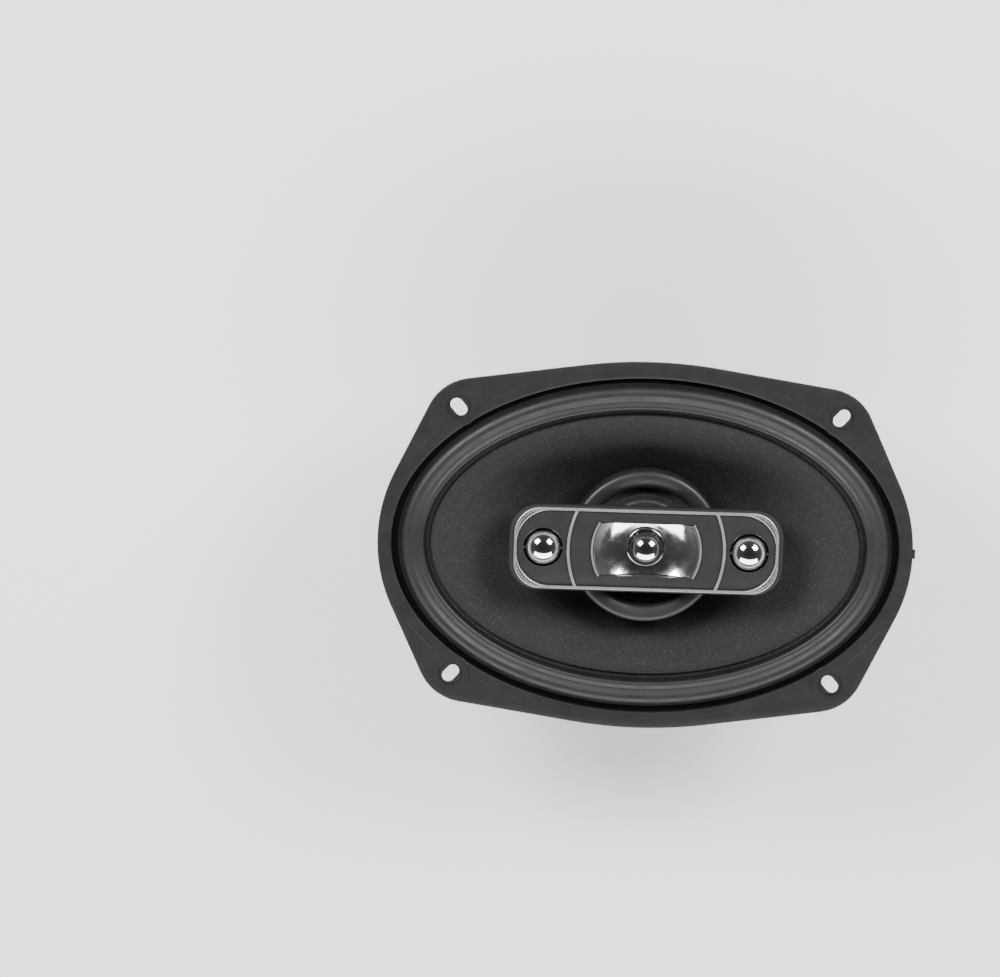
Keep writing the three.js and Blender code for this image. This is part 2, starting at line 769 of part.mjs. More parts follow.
// A ball over a driver, flat underneath, held by a thin rib that spans the recess.
function ballPlug(x, radius, bottom, height, ribReach) {
  const steps = 6;
  const profile = [[0, bottom]];
  for (let i = 0; i <= steps; i++) {
    const angle = radians((90 * i) / steps);
    profile.push([i === steps ? 0 : radius * Math.cos(angle), bottom + height * Math.sin(angle)]);
  }
  const rib = box(0, 0, bottom, bottom + 0.9, 2 * ribReach, 0.9);
  return join(turned(profile, 24), rib).translate(x, 0, 0);
}

function superDiaphragm(side) {
  const top = [
    [0, 81.6],
    [2, 81.6],
    [8.2, 83.6],
    [9, 83.6],
  ];
  const bottom = top.map(([radius, z]) => [radius, z - 0.5]).reverse();
  return turned([...top, ...bottom], 24).translate(side * SUPER.x, 0, 0);
}

// ---- Materials ---------------------------------------------------------------------------
const finish = (color, roughness, metalness = 0) =>
  () => new THREE.MeshStandardMaterial({ color, roughness, metalness });
const blackSteel = finish(0x424244, 0.55, 0.3);
const plainSteel = finish(0x9a9da0, 0.35, 0.9);
const ferrite = finish(0x2b2b2d, 0.7, 0.2);
const rubber = finish(0x3a3a3c, 0.6);
const paper = finish(0x3e3d3d, 0.9);
const cloth = finish(0xb08a4a, 0.9);
const copper = finish(0xa35a32, 0.4, 0.8);
const blackPlastic = finish(0x2e2f31, 0.45);
const satinPlastic = finish(0x4b4c4e, 0.4);
const film = finish(0x26282a, 0.25);
const brightTrim = finish(0xc9cbcd, 0.25, 0.9);
const chrome = finish(0xe6e8ea, 0.06, 1);
const brass = finish(0xb8923f, 0.35, 0.9);
const goldPlate = finish(0xc9a24a, 0.3, 0.9);
const magnetNickel = finish(0x8f9194, 0.3, 0.9);

// ---- Assembly ----------------------------------------------------------------------------
const speaker = new THREE.Group();

function add(name, geometry, material) {
  const mesh = new THREE.Mesh(geometry, material());
  mesh.name = name;
  speaker.add(mesh);
}

const SIDES = [
  ["left", -1],
  ["right", 1],
];
const POLES = [
  ["negative", -1],
  ["positive", 1],
];

add("basket", basket(), blackSteel);
add("magnet_boot", magnetBoot(), blackPlastic);
add("back_plate_pole", backPlateAndPole(), plainSteel);
add("magnet", tube(MAGNET.bore, MAGNET.radius, MAGNET.bottom, MAGNET.top, 40), ferrite);
add("top_plate", topPlate(), plainSteel);
RIVET_PLACES.forEach((place, i) => add(`basket_rivet_${i + 1}`, rivet(place), plainSteel));

add("surround", surround(), rubber);
add("cone", cone(), paper);
add("spider", spider(), cloth);
add("voice_coil_former", tube(FORMER.inner, FORMER.outer, FORMER.bottom, FORMER.top), film);
add("voice_coil", tube(WINDING.inner, WINDING.outer, WINDING.bottom, WINDING.top), copper);

add("terminal_block", terminalBlock(), blackPlastic);
for (const [pole, side] of POLES) {
  add(`terminal_${pole}`, terminalBlade(side), goldPlate);
  add(`terminal_rivet_${side > 0 ? 1 : 2}`, terminalRivet(side), plainSteel);
  add(`tinsel_lead_${pole}`, tinselLead(side), copper);
}
add("capacitor", capacitor(), satinPlastic);
add("tweeter_cable", tweeterCable(), blackPlastic);

add("tweeter_post", tweeterPost(), blackPlastic);
add("post_nut", postNut(), plainSteel);
add("mid_housing", midHousing(), blackPlastic);
add("mid_bezel", midBezel(), satinPlastic);
add("mid_yoke", midYoke(), plainSteel);
const midMagnetBottom = midMotorFloor + 2 + GAP;
add("mid_magnet", cylinder(0, 0, 8.8, midMagnetBottom, midMagnetBottom + 2.4, 24), magnetNickel);
add("mid_top_plate", cylinder(0, 0, 9.4, midMagnetBottom + 2.7, midMagnetBottom + 4.4, 24), plainSteel);
add("mid_voice_coil", tube(10.1, 10.8, midMagnetBottom + 1.4, 72.7, 24), copper);
add("mid_diaphragm", midDiaphragm(), film);

add("bridge_housing", bridgeHousing(), satinPlastic);
add("bridge_trim", bridgeTrim(), brightTrim);
add("tweeter_yoke", tweeterYoke(), plainSteel);
add("tweeter_magnet", cylinder(0, 0, 6.2, 78.3, 79.8, 24), magnetNickel);
add("tweeter_top_plate", cylinder(0, 0, 6.6, 80.1, 81.2, 24), plainSteel);
add("tweeter_voice_coil", tube(7.1, 7.7, 78.8, 82, 24), copper);
add("tweeter_dome", tweeterDome(), film);
add("tweeter_reflector", tweeterReflector(), chrome);
add("tweeter_phase_plug", ballPlug(0, 7.2, 85.3, 7.2, 8.6), chrome);
for (const [name, side] of SIDES) {
  add(`dish_trim_${name}`, dishTrim(side), brightTrim);
  add(`bridge_screw_${name}`, bridgeScrew(side), plainSteel);
  add(`pod_cover_${name}`, podCover(side), blackPlastic);
  add(`piezo_disc_${name}`, cylinder(side * SUPER.x, 0, 8.8, 79.9, 80.5, 24), brass);
  add(`super_tweeter_diaphragm_${name}`, superDiaphragm(side), film);
  add(`super_tweeter_plug_${name}`, ballPlug(side * SUPER.x, SUPER.ball, 88.2, 7.6, 8.9), chrome);
}

export default speaker;
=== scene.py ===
import math

import bmesh
import bpy
from mathutils import Matrix, Vector
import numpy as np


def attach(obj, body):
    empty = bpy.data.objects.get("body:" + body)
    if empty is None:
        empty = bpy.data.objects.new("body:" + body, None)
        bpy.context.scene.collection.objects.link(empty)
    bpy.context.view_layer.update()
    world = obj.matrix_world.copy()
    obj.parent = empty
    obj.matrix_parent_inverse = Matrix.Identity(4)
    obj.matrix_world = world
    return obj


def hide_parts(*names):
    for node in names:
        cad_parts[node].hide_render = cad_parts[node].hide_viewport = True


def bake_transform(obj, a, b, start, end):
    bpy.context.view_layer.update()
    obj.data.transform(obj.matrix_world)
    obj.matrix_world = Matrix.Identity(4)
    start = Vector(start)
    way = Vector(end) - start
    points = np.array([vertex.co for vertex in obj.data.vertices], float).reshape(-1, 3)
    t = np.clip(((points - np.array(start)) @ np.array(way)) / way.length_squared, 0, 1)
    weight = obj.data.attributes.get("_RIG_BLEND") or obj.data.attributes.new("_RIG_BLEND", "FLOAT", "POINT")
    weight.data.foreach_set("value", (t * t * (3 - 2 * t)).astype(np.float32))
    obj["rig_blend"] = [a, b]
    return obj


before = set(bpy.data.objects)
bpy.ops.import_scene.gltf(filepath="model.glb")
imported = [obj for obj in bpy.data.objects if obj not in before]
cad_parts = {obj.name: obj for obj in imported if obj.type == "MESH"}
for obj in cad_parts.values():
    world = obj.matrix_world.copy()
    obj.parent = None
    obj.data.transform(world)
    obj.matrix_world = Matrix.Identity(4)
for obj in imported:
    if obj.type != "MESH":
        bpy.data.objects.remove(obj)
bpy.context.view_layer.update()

MM = 0.001
TURN = 2 * math.pi
CHASSIS, WOOFER, MID_CONE, TWEETER = "chassis", "woofer_cone", "midrange_cone", "tweeter_diaphragm"
SIDES = (("left", -1), ("right", 1))
POLES = (("negative", -1), ("positive", 1))
CORNERS = ((1, 1), (-1, 1), (-1, -1), (1, -1))

# ---- Dimensions shared with the CAD ----
OVAL = 256  # points round an oval
ROUND = 160  # points round a large turned piece
SMALL = 96  # points round a small turned piece

RIM_RX, RIM_RY = 112.1, 74.8
FLANGE_FRONT, FLANGE_REAR = 82.0, 80.0
LEDGE_TOP = 79.0
SHEET = 1.25
BASKET_FLOOR = 30.3
SPIDER_SEAT = 38.2
# The frame's outline: centre, radius, and the first and last outward normal of each arc.
OUTLINE_ARCS = (
    (48.2, 0.0, 70.0, 0.0, 25.4),
    (77.3, 50.7, 22.0, 25.4, 81.6),
    (0.0, -122.9, 205.0, 81.6, 90.0),
)
SLOT_X, SLOT_Y, SLOT_ANGLE = 84.1, 59.75, 48.0
SURROUND_RX, SURROUND_RY = 109.0, 72.3
CONE_RX, CONE_RY, CONE_NECK = 89.7, 54.5, 13.9
LEG_Y, LEG_Z, LEG_SLOPE = -56.5, 49.7, math.atan2(11.1, 8.1)
TERMINAL_X, TERMINAL_RIVET_X = 9.0, 15.5
BLOCK_BACK = SHEET / 2 + 0.3
BLOCK_FRONT = BLOCK_BACK + 5.2
SUPER_X, POD_X, SCREW_X = 45.3, 46.5, 29.9
BRIDGE_X, BRIDGE_Y, BRIDGE_CORNER = 60.4, 19.1, 13
BRIDGE_BACK, BRIDGE_FRONT = 86.3, 91
BRIDGE_INSIDE = BRIDGE_BACK + 1  # pieces joined to the slab's back reach up to here
POD_BACK, COLLAR_REACH = 79.9, 18.1
THROAT, RECESS, SCREW_HOLE = 9.9, 9.3, 1.5
DISH_RIM, DISH_HALF_HEIGHT = 23.6, 11.8
TRIM_SEAT, TRIM_HEIGHT = 91.3, 0.7
BORDER_OUTER, BORDER_INNER = (58.2, 18.1, 12), (56.9, 16.8, 14.6)  # half length, half width, corner
FOOT = 0.3  # gap between pieces that touch
DISH_BOWL = ((9.9, 84.2), (14.0, 85.3), (18.5, 87.3), (23.6, 91.0))


# ---- Curves and outlines ----
def lerp(a, b, t):
    return a + (b - a) * t


def bent(line, radius, steps=4, closed=False):
    """A line with each corner replaced by a small curve of about that radius."""
    made = []
    count = len(line)
    for i, point in enumerate(line):
        if not closed and i in (0, count - 1):
            made.append(tuple(point))
            continue
        corner = Vector(point)
        before = Vector(line[i - 1]) - corner
        after = Vector(line[(i + 1) % count]) - corner
        start = corner + before.normalized() * min(radius, before.length * 0.45)
        end = corner + after.normalized() * min(radius, after.length * 0.45)
        for step in range(steps + 1):
            t = step / steps
            made.append(tuple(start * (1 - t) ** 2 + corner * 2 * t * (1 - t) + end * t * t))
    return made


def smooth(points, per_span=8):
    """A smooth line through the points, which may have two or three coordinates."""
    vectors = [Vector(point) for point in points]
    ends = [vectors[0] * 2 - vectors[1], *vectors, vectors[-1] * 2 - vectors[-2]]
    made = []
    for i in range(1, len(ends) - 2):
        before, start, end, after = ends[i - 1 : i + 3]
        for step in range(per_span):
            t = step / per_span
            pull = (end - before) * 0.5 * t
            bow = (before - start * 2.5 + end * 2 - after * 0.5) * t**2
            twist = ((after - before) * 0.5 + (start - end) * 1.5) * t**3
            made.append(tuple(start + pull + bow + twist))
    made.append(tuple(vectors[-1]))
    return made


def sheet_sides(line, thickness):
    """The front and the back of a sheet, from the (rx, ry, z) points of its middle line."""
    sides = ([], [])
    for i, (rx, ry, z) in enumerate(line):
        before = line[max(i - 1, 0)]
        after = line[min(i + 1, len(line) - 1)]
        along = (after[0] + after[1] - before[0] - before[1]) / 2
        up = after[2] - before[2]
        for side, sign in zip(sides, (1, -1)):
            shift = sign * thickness / 2 / math.hypot(along, up)
            side.append((rx - up * shift, ry - up * shift, z + along * shift))
    return sides


def ellipse(rx, ry, z, count=OVAL):
    turns = [TURN * i / count for i in range(count)]
    return [(rx * math.cos(turn), ry * math.sin(turn), z) for turn in turns]


def rounded_rectangle(half_x, half_y, corner, z, steps=12, x=0.0, y=0.0):
    ring = []
    for quarter, (sign_x, sign_y) in enumerate(CORNERS):
        for i in range(steps + 1):
            turn = math.radians(90 * (quarter + i / steps))
            ring.append(
                (
                    x + sign_x * (half_x - corner) + corner * math.cos(turn),
                    y + sign_y * (half_y - corner) + corner * math.sin(turn),
                    z,
                )
            )
    return ring


def frame_outline(inset):
    """A quarter of the frame's outline as (angle, radius) pairs, dense along its straight edges."""
    points = []
    for x, y, radius, start, end in OUTLINE_ARCS:
        for i in range(41):
            normal = math.radians(lerp(start, end, i / 40))
            reach = radius - inset
            points.append(Vector((x + reach * math.cos(normal), y + reach * math.sin(normal))))
    pairs = []
    for start, end in zip(points, points[1:] + points[-1:]):
        pieces = max(1, round((end - start).length))
        for i in range(pieces):
            point = start.lerp(end, i / pieces)
            pairs.append((math.atan2(point.y, point.x), point.length))
    return pairs


def frame_ring(inset, z):
    """The frame's outline at one height, with its points in step with those of the front opening."""
    pairs = frame_outline(inset)
    ring = []
    for rim_x, rim_y, _ in ellipse(RIM_RX, RIM_RY, z):
        angle = math.atan2(abs(rim_y), abs(rim_x))
        above = next((i for i, pair in enumerate(pairs) if pair[0] >= angle), len(pairs) - 1)
        low, high = pairs[max(above - 1, 0)], pairs[above]
        span = high[0] - low[0]
        share = (angle - low[0]) / span if span > 1e-9 else 0.0
        radius = lerp(low[1], high[1], min(max(share, 0.0), 1.0))
        x = math.copysign(radius * math.cos(angle), rim_x)
        y = math.copysign(radius * math.sin(angle), rim_y)
        ring.append((x, y, z))
    return ring


# ---- Meshes ----
def joined(*shapes):
    """Several (points, faces) shapes as one."""
    points, faces = [], []
    for shape_points, shape_faces in shapes:
        start = len(points)
        points += shape_points
        faces += [tuple(start + i for i in face) for face in shape_faces]
    return points, faces


def loft(rings, wrap=False, capped=False):
    """Faces between rings of equal count. wrap joins the last ring to the first."""
    count = len(rings[0])
    points = [point for ring in rings for point in ring]
    faces = []
    for i in range(len(rings) if wrap else len(rings) - 1):
        low, high = i * count, (i + 1) % len(rings) * count
        for j in range(count):
            after = (j + 1) % count
            faces.append((low + j, low + after, high + after, high + j))
    if capped:
        faces.append(tuple(reversed(range(count))))
        faces.append(tuple(range(len(points) - count, len(points))))
    return points, faces


def turned(profile, steps=ROUND, x=0.0, y=0.0):
    """A body turned about Z from (radius, z) points, closed on itself or on the axis."""
    rings = [[(x + px, y + py, z) for px, py, _ in ellipse(r, r, z, steps)] for r, z in profile]
    return loft(rings, wrap=True)


def prism(ring_at, levels):
    """A body from (inset, z) levels. ring_at gives the outline at an inset and a height."""
    return loft([ring_at(inset, z) for inset, z in levels], capped=True)


def block(low, high):
    (x0, y0, z0), (x1, y1, z1) = low, high
    rings = [[(x0, y0, z), (x1, y0, z), (x1, y1, z), (x0, y1, z)] for z in (z0, z1)]
    return loft(rings, capped=True)


def swept(path, section, flat=False):
    """A section of (across, up) points carried along a path, with both ends closed.

    A flat path keeps up along Z. Any other path turns its section as little as it can.
    """
    points = [Vector(point) for point in path]
    up = Vector((0, 0, 1)) if flat else Vector((1, 0, 0))
    rings = []
    for i, point in enumerate(points):
        ahead = points[min(i + 1, len(points) - 1)]
        behind = points[max(i - 1, 0)]
        along = (ahead - behind).normalized()
        across = along.cross(up).normalized()
        if not flat:
            up = across.cross(along).normalized()
        shape = section(i) if callable(section) else section
        rings.append([tuple(point + across * a + up * b) for a, b in shape])
    return loft(rings, capped=True)


def circle(radius, count=16):
    return [(x, y) for x, y, _ in ellipse(radius, radius, 0, count)]


def placed(shape, matrix):
    points, faces = shape
    return [tuple(matrix @ Vector(point)) for point in points], faces


def finished(obj, sharp):
    mesh = obj.data
    work = bmesh.new()
    work.from_mesh(mesh)
    bmesh.ops.remove_doubles(work, verts=work.verts, dist=2e-7)
    bmesh.ops.recalc_face_normals(work, faces=work.faces)
    work.to_mesh(mesh)
    work.free()
    mesh.shade_smooth()
    mesh.set_sharp_from_angle(angle=math.radians(sharp))


def raw(name, shape):
    """A new object from a shape in millimetres."""
    points, faces = shape
    mesh = bpy.data.meshes.new(name)
    mesh.from_pydata([tuple(c * MM for c in point) for point in points], [], faces)
    obj = bpy.data.objects.new(name, mesh)
    bpy.context.scene.collection.objects.link(obj)
    finished(obj, 30)
    return obj


def carve(obj, operation, *shapes):
    """Joins shapes to obj, or cuts them from it. Shapes in one call don't overlap each other."""
    tool = raw("tool", joined(*shapes))
    modifier = obj.modifiers.new("carve", "BOOLEAN")
    modifier.operation = operation
    modifier.solver = "MANIFOLD"
    modifier.object = tool
    graph = bpy.context.evaluated_depsgraph_get()
    made = bpy.data.meshes.new_from_object(obj.evaluated_get(graph))
    old = obj.data
    obj.modifiers.clear()
    obj.data = made
    bpy.data.meshes.remove(old)
    old_tool = tool.data
    bpy.data.objects.remove(tool)
    bpy.data.meshes.remove(old_tool)


def piece(name, shape, material, body, stands_for, sharp=32):
    """A finished piece: a shape or an object, its look, its body and the nodes that it stands for."""
    obj = raw(name, shape) if isinstance(shape, tuple) else shape
    obj.name = name
    finished(obj, sharp)
    obj.data.materials.clear()
    obj.data.materials.append(material)
    if body:
        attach(obj, body)
    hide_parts(*stands_for)
    return obj


def blended(obj, share):
    """Carries obj between the chassis and the woofer cone. share maps a point in mm to 0..1."""
    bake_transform(obj, CHASSIS, WOOFER, start=(0.2, 0, 0), end=(-0.2, 0, 0))
    weights = obj.data.attributes["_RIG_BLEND"].data
    for vertex, weight in zip(obj.data.vertices, weights):
        t = min(max(share(vertex.co / MM), 0.0), 1.0)
        weight.value = t * t * (3 - 2 * t)


# ---- Materials ----
class Look:
    """A material's nodes. Scales are features per metre, and heights are in metres."""

    def __init__(self, name, roughness, metallic=0.0):
        self.material = bpy.data.materials.new(name)
        self.material.use_nodes = True
        self.tree = self.material.node_tree
        self.shader = self.tree.nodes["Principled BSDF"]
        self.shader.inputs["Roughness"].default_value = roughness
        self.shader.inputs["Metallic"].default_value = metallic
        self.place = self.add("ShaderNodeTexCoord").outputs["Object"]

    def add(self, kind, **inputs):
        node = self.tree.nodes.new(kind)
        for name, value in inputs.items():
            node.inputs[name.replace("_", " ")].default_value = value
        return node

    def link(self, start, end):
        self.tree.links.new(start, end)

    def noise(self, scale, detail=3.0, stretch=(1, 1, 1)):
        mapping = self.add("ShaderNodeMapping")
        mapping.inputs["Scale"].default_value = stretch
        node = self.add("ShaderNodeTexNoise", Scale=scale, Detail=detail)
        self.link(self.place, mapping.inputs["Vector"])
        self.link(mapping.outputs["Vector"], node.inputs["Vector"])
        return node.outputs["Fac"]

    def cells(self, scale):
        node = self.add("ShaderNodeTexVoronoi", Scale=scale)
        self.link(self.place, node.inputs["Vector"])
        return node

    def waves(self, scale, direction, distortion=0.0):
        node = self.add("ShaderNodeTexWave", Scale=scale, Distortion=distortion)
        node.bands_direction = direction
        self.link(self.place, node.inputs["Vector"])
        return node.outputs["Fac"]

    def rings(self, scale):
        node = self.add("ShaderNodeTexWave", Scale=scale, Distortion=0.4)
        node.wave_type = "RINGS"
        node.rings_direction = "Z"
        self.link(self.place, node.inputs["Vector"])
        return node.outputs["Fac"]

    def ranged(self, value, low, high, start=0.3, end=0.7):
        node = self.add("ShaderNodeMapRange")
        node.inputs["From Min"].default_value = start
        node.inputs["From Max"].default_value = end
        node.inputs["To Min"].default_value = low
        node.inputs["To Max"].default_value = high
        self.link(value, node.inputs["Value"])
        return node.outputs["Result"]

    def mixed(self, factor, low, high):
        node = self.add("ShaderNodeMix")
        node.data_type = "RGBA"
        self.link(factor, node.inputs["Factor"])
        for socket, colour in ((node.inputs[6], low), (node.inputs[7], high)):
            if isinstance(colour, tuple):
                socket.default_value = (*colour, 1)
            else:
                self.link(colour, socket)
        return node.outputs[2]

    def colour(self, value):
        self.link(value, self.shader.inputs["Base Color"])

    def roughness(self, value, low, high):
        self.link(self.ranged(value, low, high), self.shader.inputs["Roughness"])

    def bump(self, value, height, strength=1.0):
        node = self.add("ShaderNodeBump", Strength=strength, Distance=height)
        self.link(value, node.inputs["Height"])
        if self.shader.inputs["Normal"].is_linked:
            self.link(self.shader.inputs["Normal"].links[0].from_socket, node.inputs["Normal"])
        self.link(node.outputs["Normal"], self.shader.inputs["Normal"])

    def set(self, **inputs):
        for name, value in inputs.items():
            self.shader.inputs[name.replace("_", " ")].default_value = value
        return self


def shades(colour, spread):
    low = tuple(c * (1 - spread) for c in colour)
    high = tuple(c * (1 + spread) for c in colour)
    return low, high


def moulded(name, colour, roughness, grain=1800, height=0.00003, specular=0.5):
    """Moulded plastic or rubber: a fine grain, and slow changes of tone and gloss."""
    look = Look(name, roughness).set(Specular_IOR_Level=specular)
    look.colour(look.mixed(look.noise(60), *shades(colour, 0.12)))
    look.roughness(look.noise(140), roughness - 0.05, roughness + 0.06)
    look.bump(look.noise(grain, 2.0), height)
    return look


def plated(name, colour, roughness, marks=900, height=0.000004):
    """Plated or turned metal: a slow change of tone, and fine marks round its axis."""
    look = Look(name, roughness, 1.0)
    look.colour(look.mixed(look.noise(90), *shades(colour, 0.06)))
    look.roughness(look.noise(400), roughness * 0.8, roughness * 1.25)
    look.bump(look.rings(marks), height, 0.5)
    return look


def paint_look():
    look = moulded("basket_paint", (0.012, 0.0123, 0.0122), 0.42, 2600, specular=0.25)
    specks = look.ranged(look.cells(1400).outputs["Distance"], 1.0, 0.0, 0.0, 0.16)
    base = look.shader.inputs["Base Color"].links[0].from_socket
    look.colour(look.mixed(specks, base, (0.026, 0.0265, 0.0265)))
    return look


def paper_look():
    look = Look("cone_paper", 0.8)
    fibres = look.noise(900, 6.0, (1, 2.6, 1))
    across = look.noise(800, 6.0, (2.6, 1, 1))
    cloud = look.mixed(look.noise(45), (0.0105, 0.0108, 0.0104), (0.0155, 0.0158, 0.0152))
    woven = look.mixed(look.ranged(fibres, 0.0, 0.8, 0.45, 0.75), cloud, (0.03, 0.0304, 0.029))
    flecks = look.ranged(look.cells(1100).outputs["Distance"], 0.8, 0.0, 0.06, 0.17)
    patches = look.ranged(look.noise(260, 2.0), 0.0, 1.0, 0.44, 0.58)
    gate = look.add("ShaderNodeMath")
    gate.operation = "MULTIPLY"
    look.link(flecks, gate.inputs[0])
    look.link(patches, gate.inputs[1])
    look.colour(look.mixed(gate.outputs["Value"], woven, (0.16, 0.16, 0.152)))
    look.roughness(fibres, 0.68, 0.9)
    look.bump(fibres, 0.00012, 0.8)
    look.bump(across, 0.0001, 0.6)
    return look.set(Specular_IOR_Level=0.15)


def cloth_look():
    look = Look("spider_cloth", 0.7)
    warp = look.waves(620, "X")
    weft = look.waves(620, "Y")
    tone = look.mixed(look.noise(120), (0.34, 0.2, 0.07), (0.46, 0.29, 0.11))
    dark = look.mixed(look.ranged(warp, 0.0, 0.6), tone, (0.22, 0.12, 0.04))
    look.colour(look.mixed(look.ranged(weft, 0.0, 0.5), dark, (0.5, 0.33, 0.14)))
    look.roughness(look.noise(300), 0.6, 0.8)
    look.bump(warp, 0.0002, 0.6)
    look.bump(weft, 0.0002, 0.6)
    return look.set(Sheen_Weight=0.2, Sheen_Roughness=0.5)


def wound_look(name, colour, roughness, pitch):
    """Fine wire laid round the axis, turn on turn."""
    look = Look(name, roughness, 1.0)
    look.colour(look.mixed(look.waves(pitch, "Z"), *shades(colour, 0.25)))
    look.roughness(look.noise(500), roughness - 0.06, roughness + 0.08)
    look.bump(look.waves(pitch, "Z"), 0.00006, 0.6)
    return look


def braided_look():
    look = Look("tinsel", 0.4, 1.0)
    strands = look.waves(1500, "DIAGONAL", 1.0)
    look.colour(look.mixed(strands, (0.28, 0.12, 0.05), (0.62, 0.33, 0.18)))
    look.roughness(look.noise(700), 0.3, 0.5)
    look.bump(strands, 0.00012, 0.8)
    return look


def film_look(name, colour, roughness, metallic=0.0):
    look = Look(name, roughness, metallic)
    look.colour(look.mixed(look.noise(150), *shades(colour, 0.25)))
    look.roughness(look.noise(220), roughness * 0.7, roughness * 1.5)
    look.bump(look.noise(420, 1.0), 0.00002, 0.4)
    return look.set(Coat_Weight=0.8, Coat_Roughness=0.1)


def ferrite_look():
    look = Look("ferrite", 0.62, 0.2)
    grinding = look.noise(700, 4.0, (6, 0.5, 1))
    look.colour(look.mixed(grinding, (0.03, 0.03, 0.032), (0.055, 0.055, 0.058)))
    look.roughness(grinding, 0.5, 0.72)
    look.bump(look.noise(1600, 3.0), 0.00005, 0.6)
    return look


def chrome_look(name, roughness):
    look = Look(name, roughness, 1.0)
    look.colour(look.mixed(look.noise(70), (0.8, 0.81, 0.83), (0.88, 0.89, 0.9)))
    look.roughness(look.noise(260), roughness * 0.7, roughness * 1.4)
    return look


def trim_look():
    look = Look("bright_trim", 0.45, 0.75)
    look.colour(look.mixed(look.noise(160), (0.23, 0.234, 0.238), (0.29, 0.294, 0.298)))
    look.roughness(look.noise(700), 0.4, 0.5)
    return look


def wrap_look():
    look = moulded("capacitor_wrap", (0.3, 0.2, 0.03), 0.4, 900, 0.00002)
    return look.set(Coat_Weight=0.3, Coat_Roughness=0.15)


PAINT = paint_look().material
PAPER = paper_look().material
RUBBER = moulded("surround_rubber", (0.0062, 0.0064, 0.0062), 0.5, 2200, specular=0.4).material
# Painted shade: a near-black, dull material for the strip that darkens the shaded gap on the ledge.
LEDGE_SHADE = moulded("painted_ledge_shade", (0.0025, 0.0025, 0.0026), 0.95, 1500, 0.0001, specular=0.05).material
CLOTH = cloth_look().material
BOOT = moulded("boot_plastic", (0.017, 0.0173, 0.0177), 0.42, 2400, 0.00004).material
POST = moulded("post_plastic", (0.011, 0.0113, 0.0117), 0.4).material
BEZEL = moulded("bezel_plastic", (0.0155, 0.0158, 0.0157), 0.4, 2600, 0.00002, specular=0.35).material
PANEL = moulded("bridge_plastic", (0.0165, 0.0168, 0.0175), 0.42, 2600, 0.00002, specular=0.25).material
JACKET = moulded("cable_jacket", (0.014, 0.014, 0.015), 0.45, 3000, 0.00002).material
STEEL = plated("plated_steel", (0.55, 0.56, 0.57), 0.3).material
NICKEL = plated("nickel", (0.58, 0.57, 0.54), 0.22).material
BRASS = plated("piezo_brass", (0.62, 0.44, 0.17), 0.3).material
GOLD = plated("gold_plate", (0.83, 0.58, 0.2), 0.24, 1500).material
FERRITE = ferrite_look().material
CHROME = chrome_look("chrome", 0.07).material
SATIN_CHROME = chrome_look("dish_chrome", 0.12).material
TRIM = trim_look().material
FILM = film_look("coil_film", (0.05, 0.051, 0.0515), 0.24, 0.2).material
SUPER_FILM = film_look("super_film", (0.018, 0.018, 0.019), 0.2).material
AMBER_FILM = film_look("former_film", (0.12, 0.05, 0.012), 0.2).material
COPPER = wound_look("coil_copper", (0.58, 0.24, 0.1), 0.34, 1600).material
TINSEL = braided_look().material
WRAP = wrap_look().material


# ---- Camera, light and floor ----
CAMERA_TILT, CAMERA_YAW, CAMERA_ROLL = 10.15, -0.94, 1.91
CAMERA_DISTANCE = 2200.0
VIEW_WIDTH = 440.8  # width of the picture at the front of the frame
SENSOR = 36.0
VIEW_RIGHT, VIEW_UP = -64.1, 25.6  # from the front's centre to the picture's


def camera():
    tilt, yaw, roll = (math.radians(a) for a in (CAMERA_TILT, CAMERA_YAW, CAMERA_ROLL))
    back = Vector(
        (math.sin(yaw) * math.cos(tilt), math.sin(tilt), math.cos(yaw) * math.cos(tilt))
    )
    level = Vector((0, 1, 0)).cross(back).normalized()
    upright = back.cross(level)
    right = level * math.cos(roll) + upright * math.sin(roll)
    up = upright * math.cos(roll) - level * math.sin(roll)
    centre = Vector((0, 0, FLANGE_FRONT)) + right * VIEW_RIGHT + up * VIEW_UP
    data = bpy.data.cameras.new("camera")
    data.sensor_width = SENSOR
    data.lens = SENSOR * CAMERA_DISTANCE / VIEW_WIDTH
    data.clip_start, data.clip_end = 0.05, 60
    obj = bpy.data.objects.new("camera", data)
    bpy.context.scene.collection.objects.link(obj)
    place = Matrix((right, up, back)).transposed().to_4x4()
    place.translation = (centre + back * CAMERA_DISTANCE) * MM
    obj.matrix_world = place
    bpy.context.scene.camera = obj


def softbox(name, position, target, width, height, watts):
    data = bpy.data.lights.new(name, "AREA")
    data.shape = "RECTANGLE"
    data.size, data.size_y = width * MM, height * MM
    data.energy = watts
    obj = bpy.data.objects.new(name, data)
    bpy.context.scene.collection.objects.link(obj)
    obj.location = Vector(position) * MM
    aim = Vector(target) - Vector(position)
    obj.rotation_mode = "QUATERNION"
    obj.rotation_quaternion = aim.to_track_quat("-Z", "Y")


def sky():
    """A plain room: pale near the horizon and dark overhead."""
    world = bpy.data.worlds.new("room")
    bpy.context.scene.world = world
    world.use_nodes = True
    tree = world.node_tree
    place = tree.nodes.new("ShaderNodeTexCoord")
    parts = tree.nodes.new("ShaderNodeSeparateXYZ")
    ramp = tree.nodes.new("ShaderNodeValToRGB")
    stops = ((0.0, 0.85), (0.08, 0.55), (0.25, 0.08), (1.0, 0.03))
    while len(ramp.color_ramp.elements) < len(stops):
        ramp.color_ramp.elements.new(0.5)
    for element, (height, grey) in zip(ramp.color_ramp.elements, stops):
        element.position = height
        element.color = (grey, grey, grey, 1)
    tree.links.new(place.outputs["Generated"], parts.inputs["Vector"])
    tree.links.new(parts.outputs["Z"], ramp.inputs["Fac"])
    tree.links.new(ramp.outputs["Color"], tree.nodes["Background"].inputs["Color"])


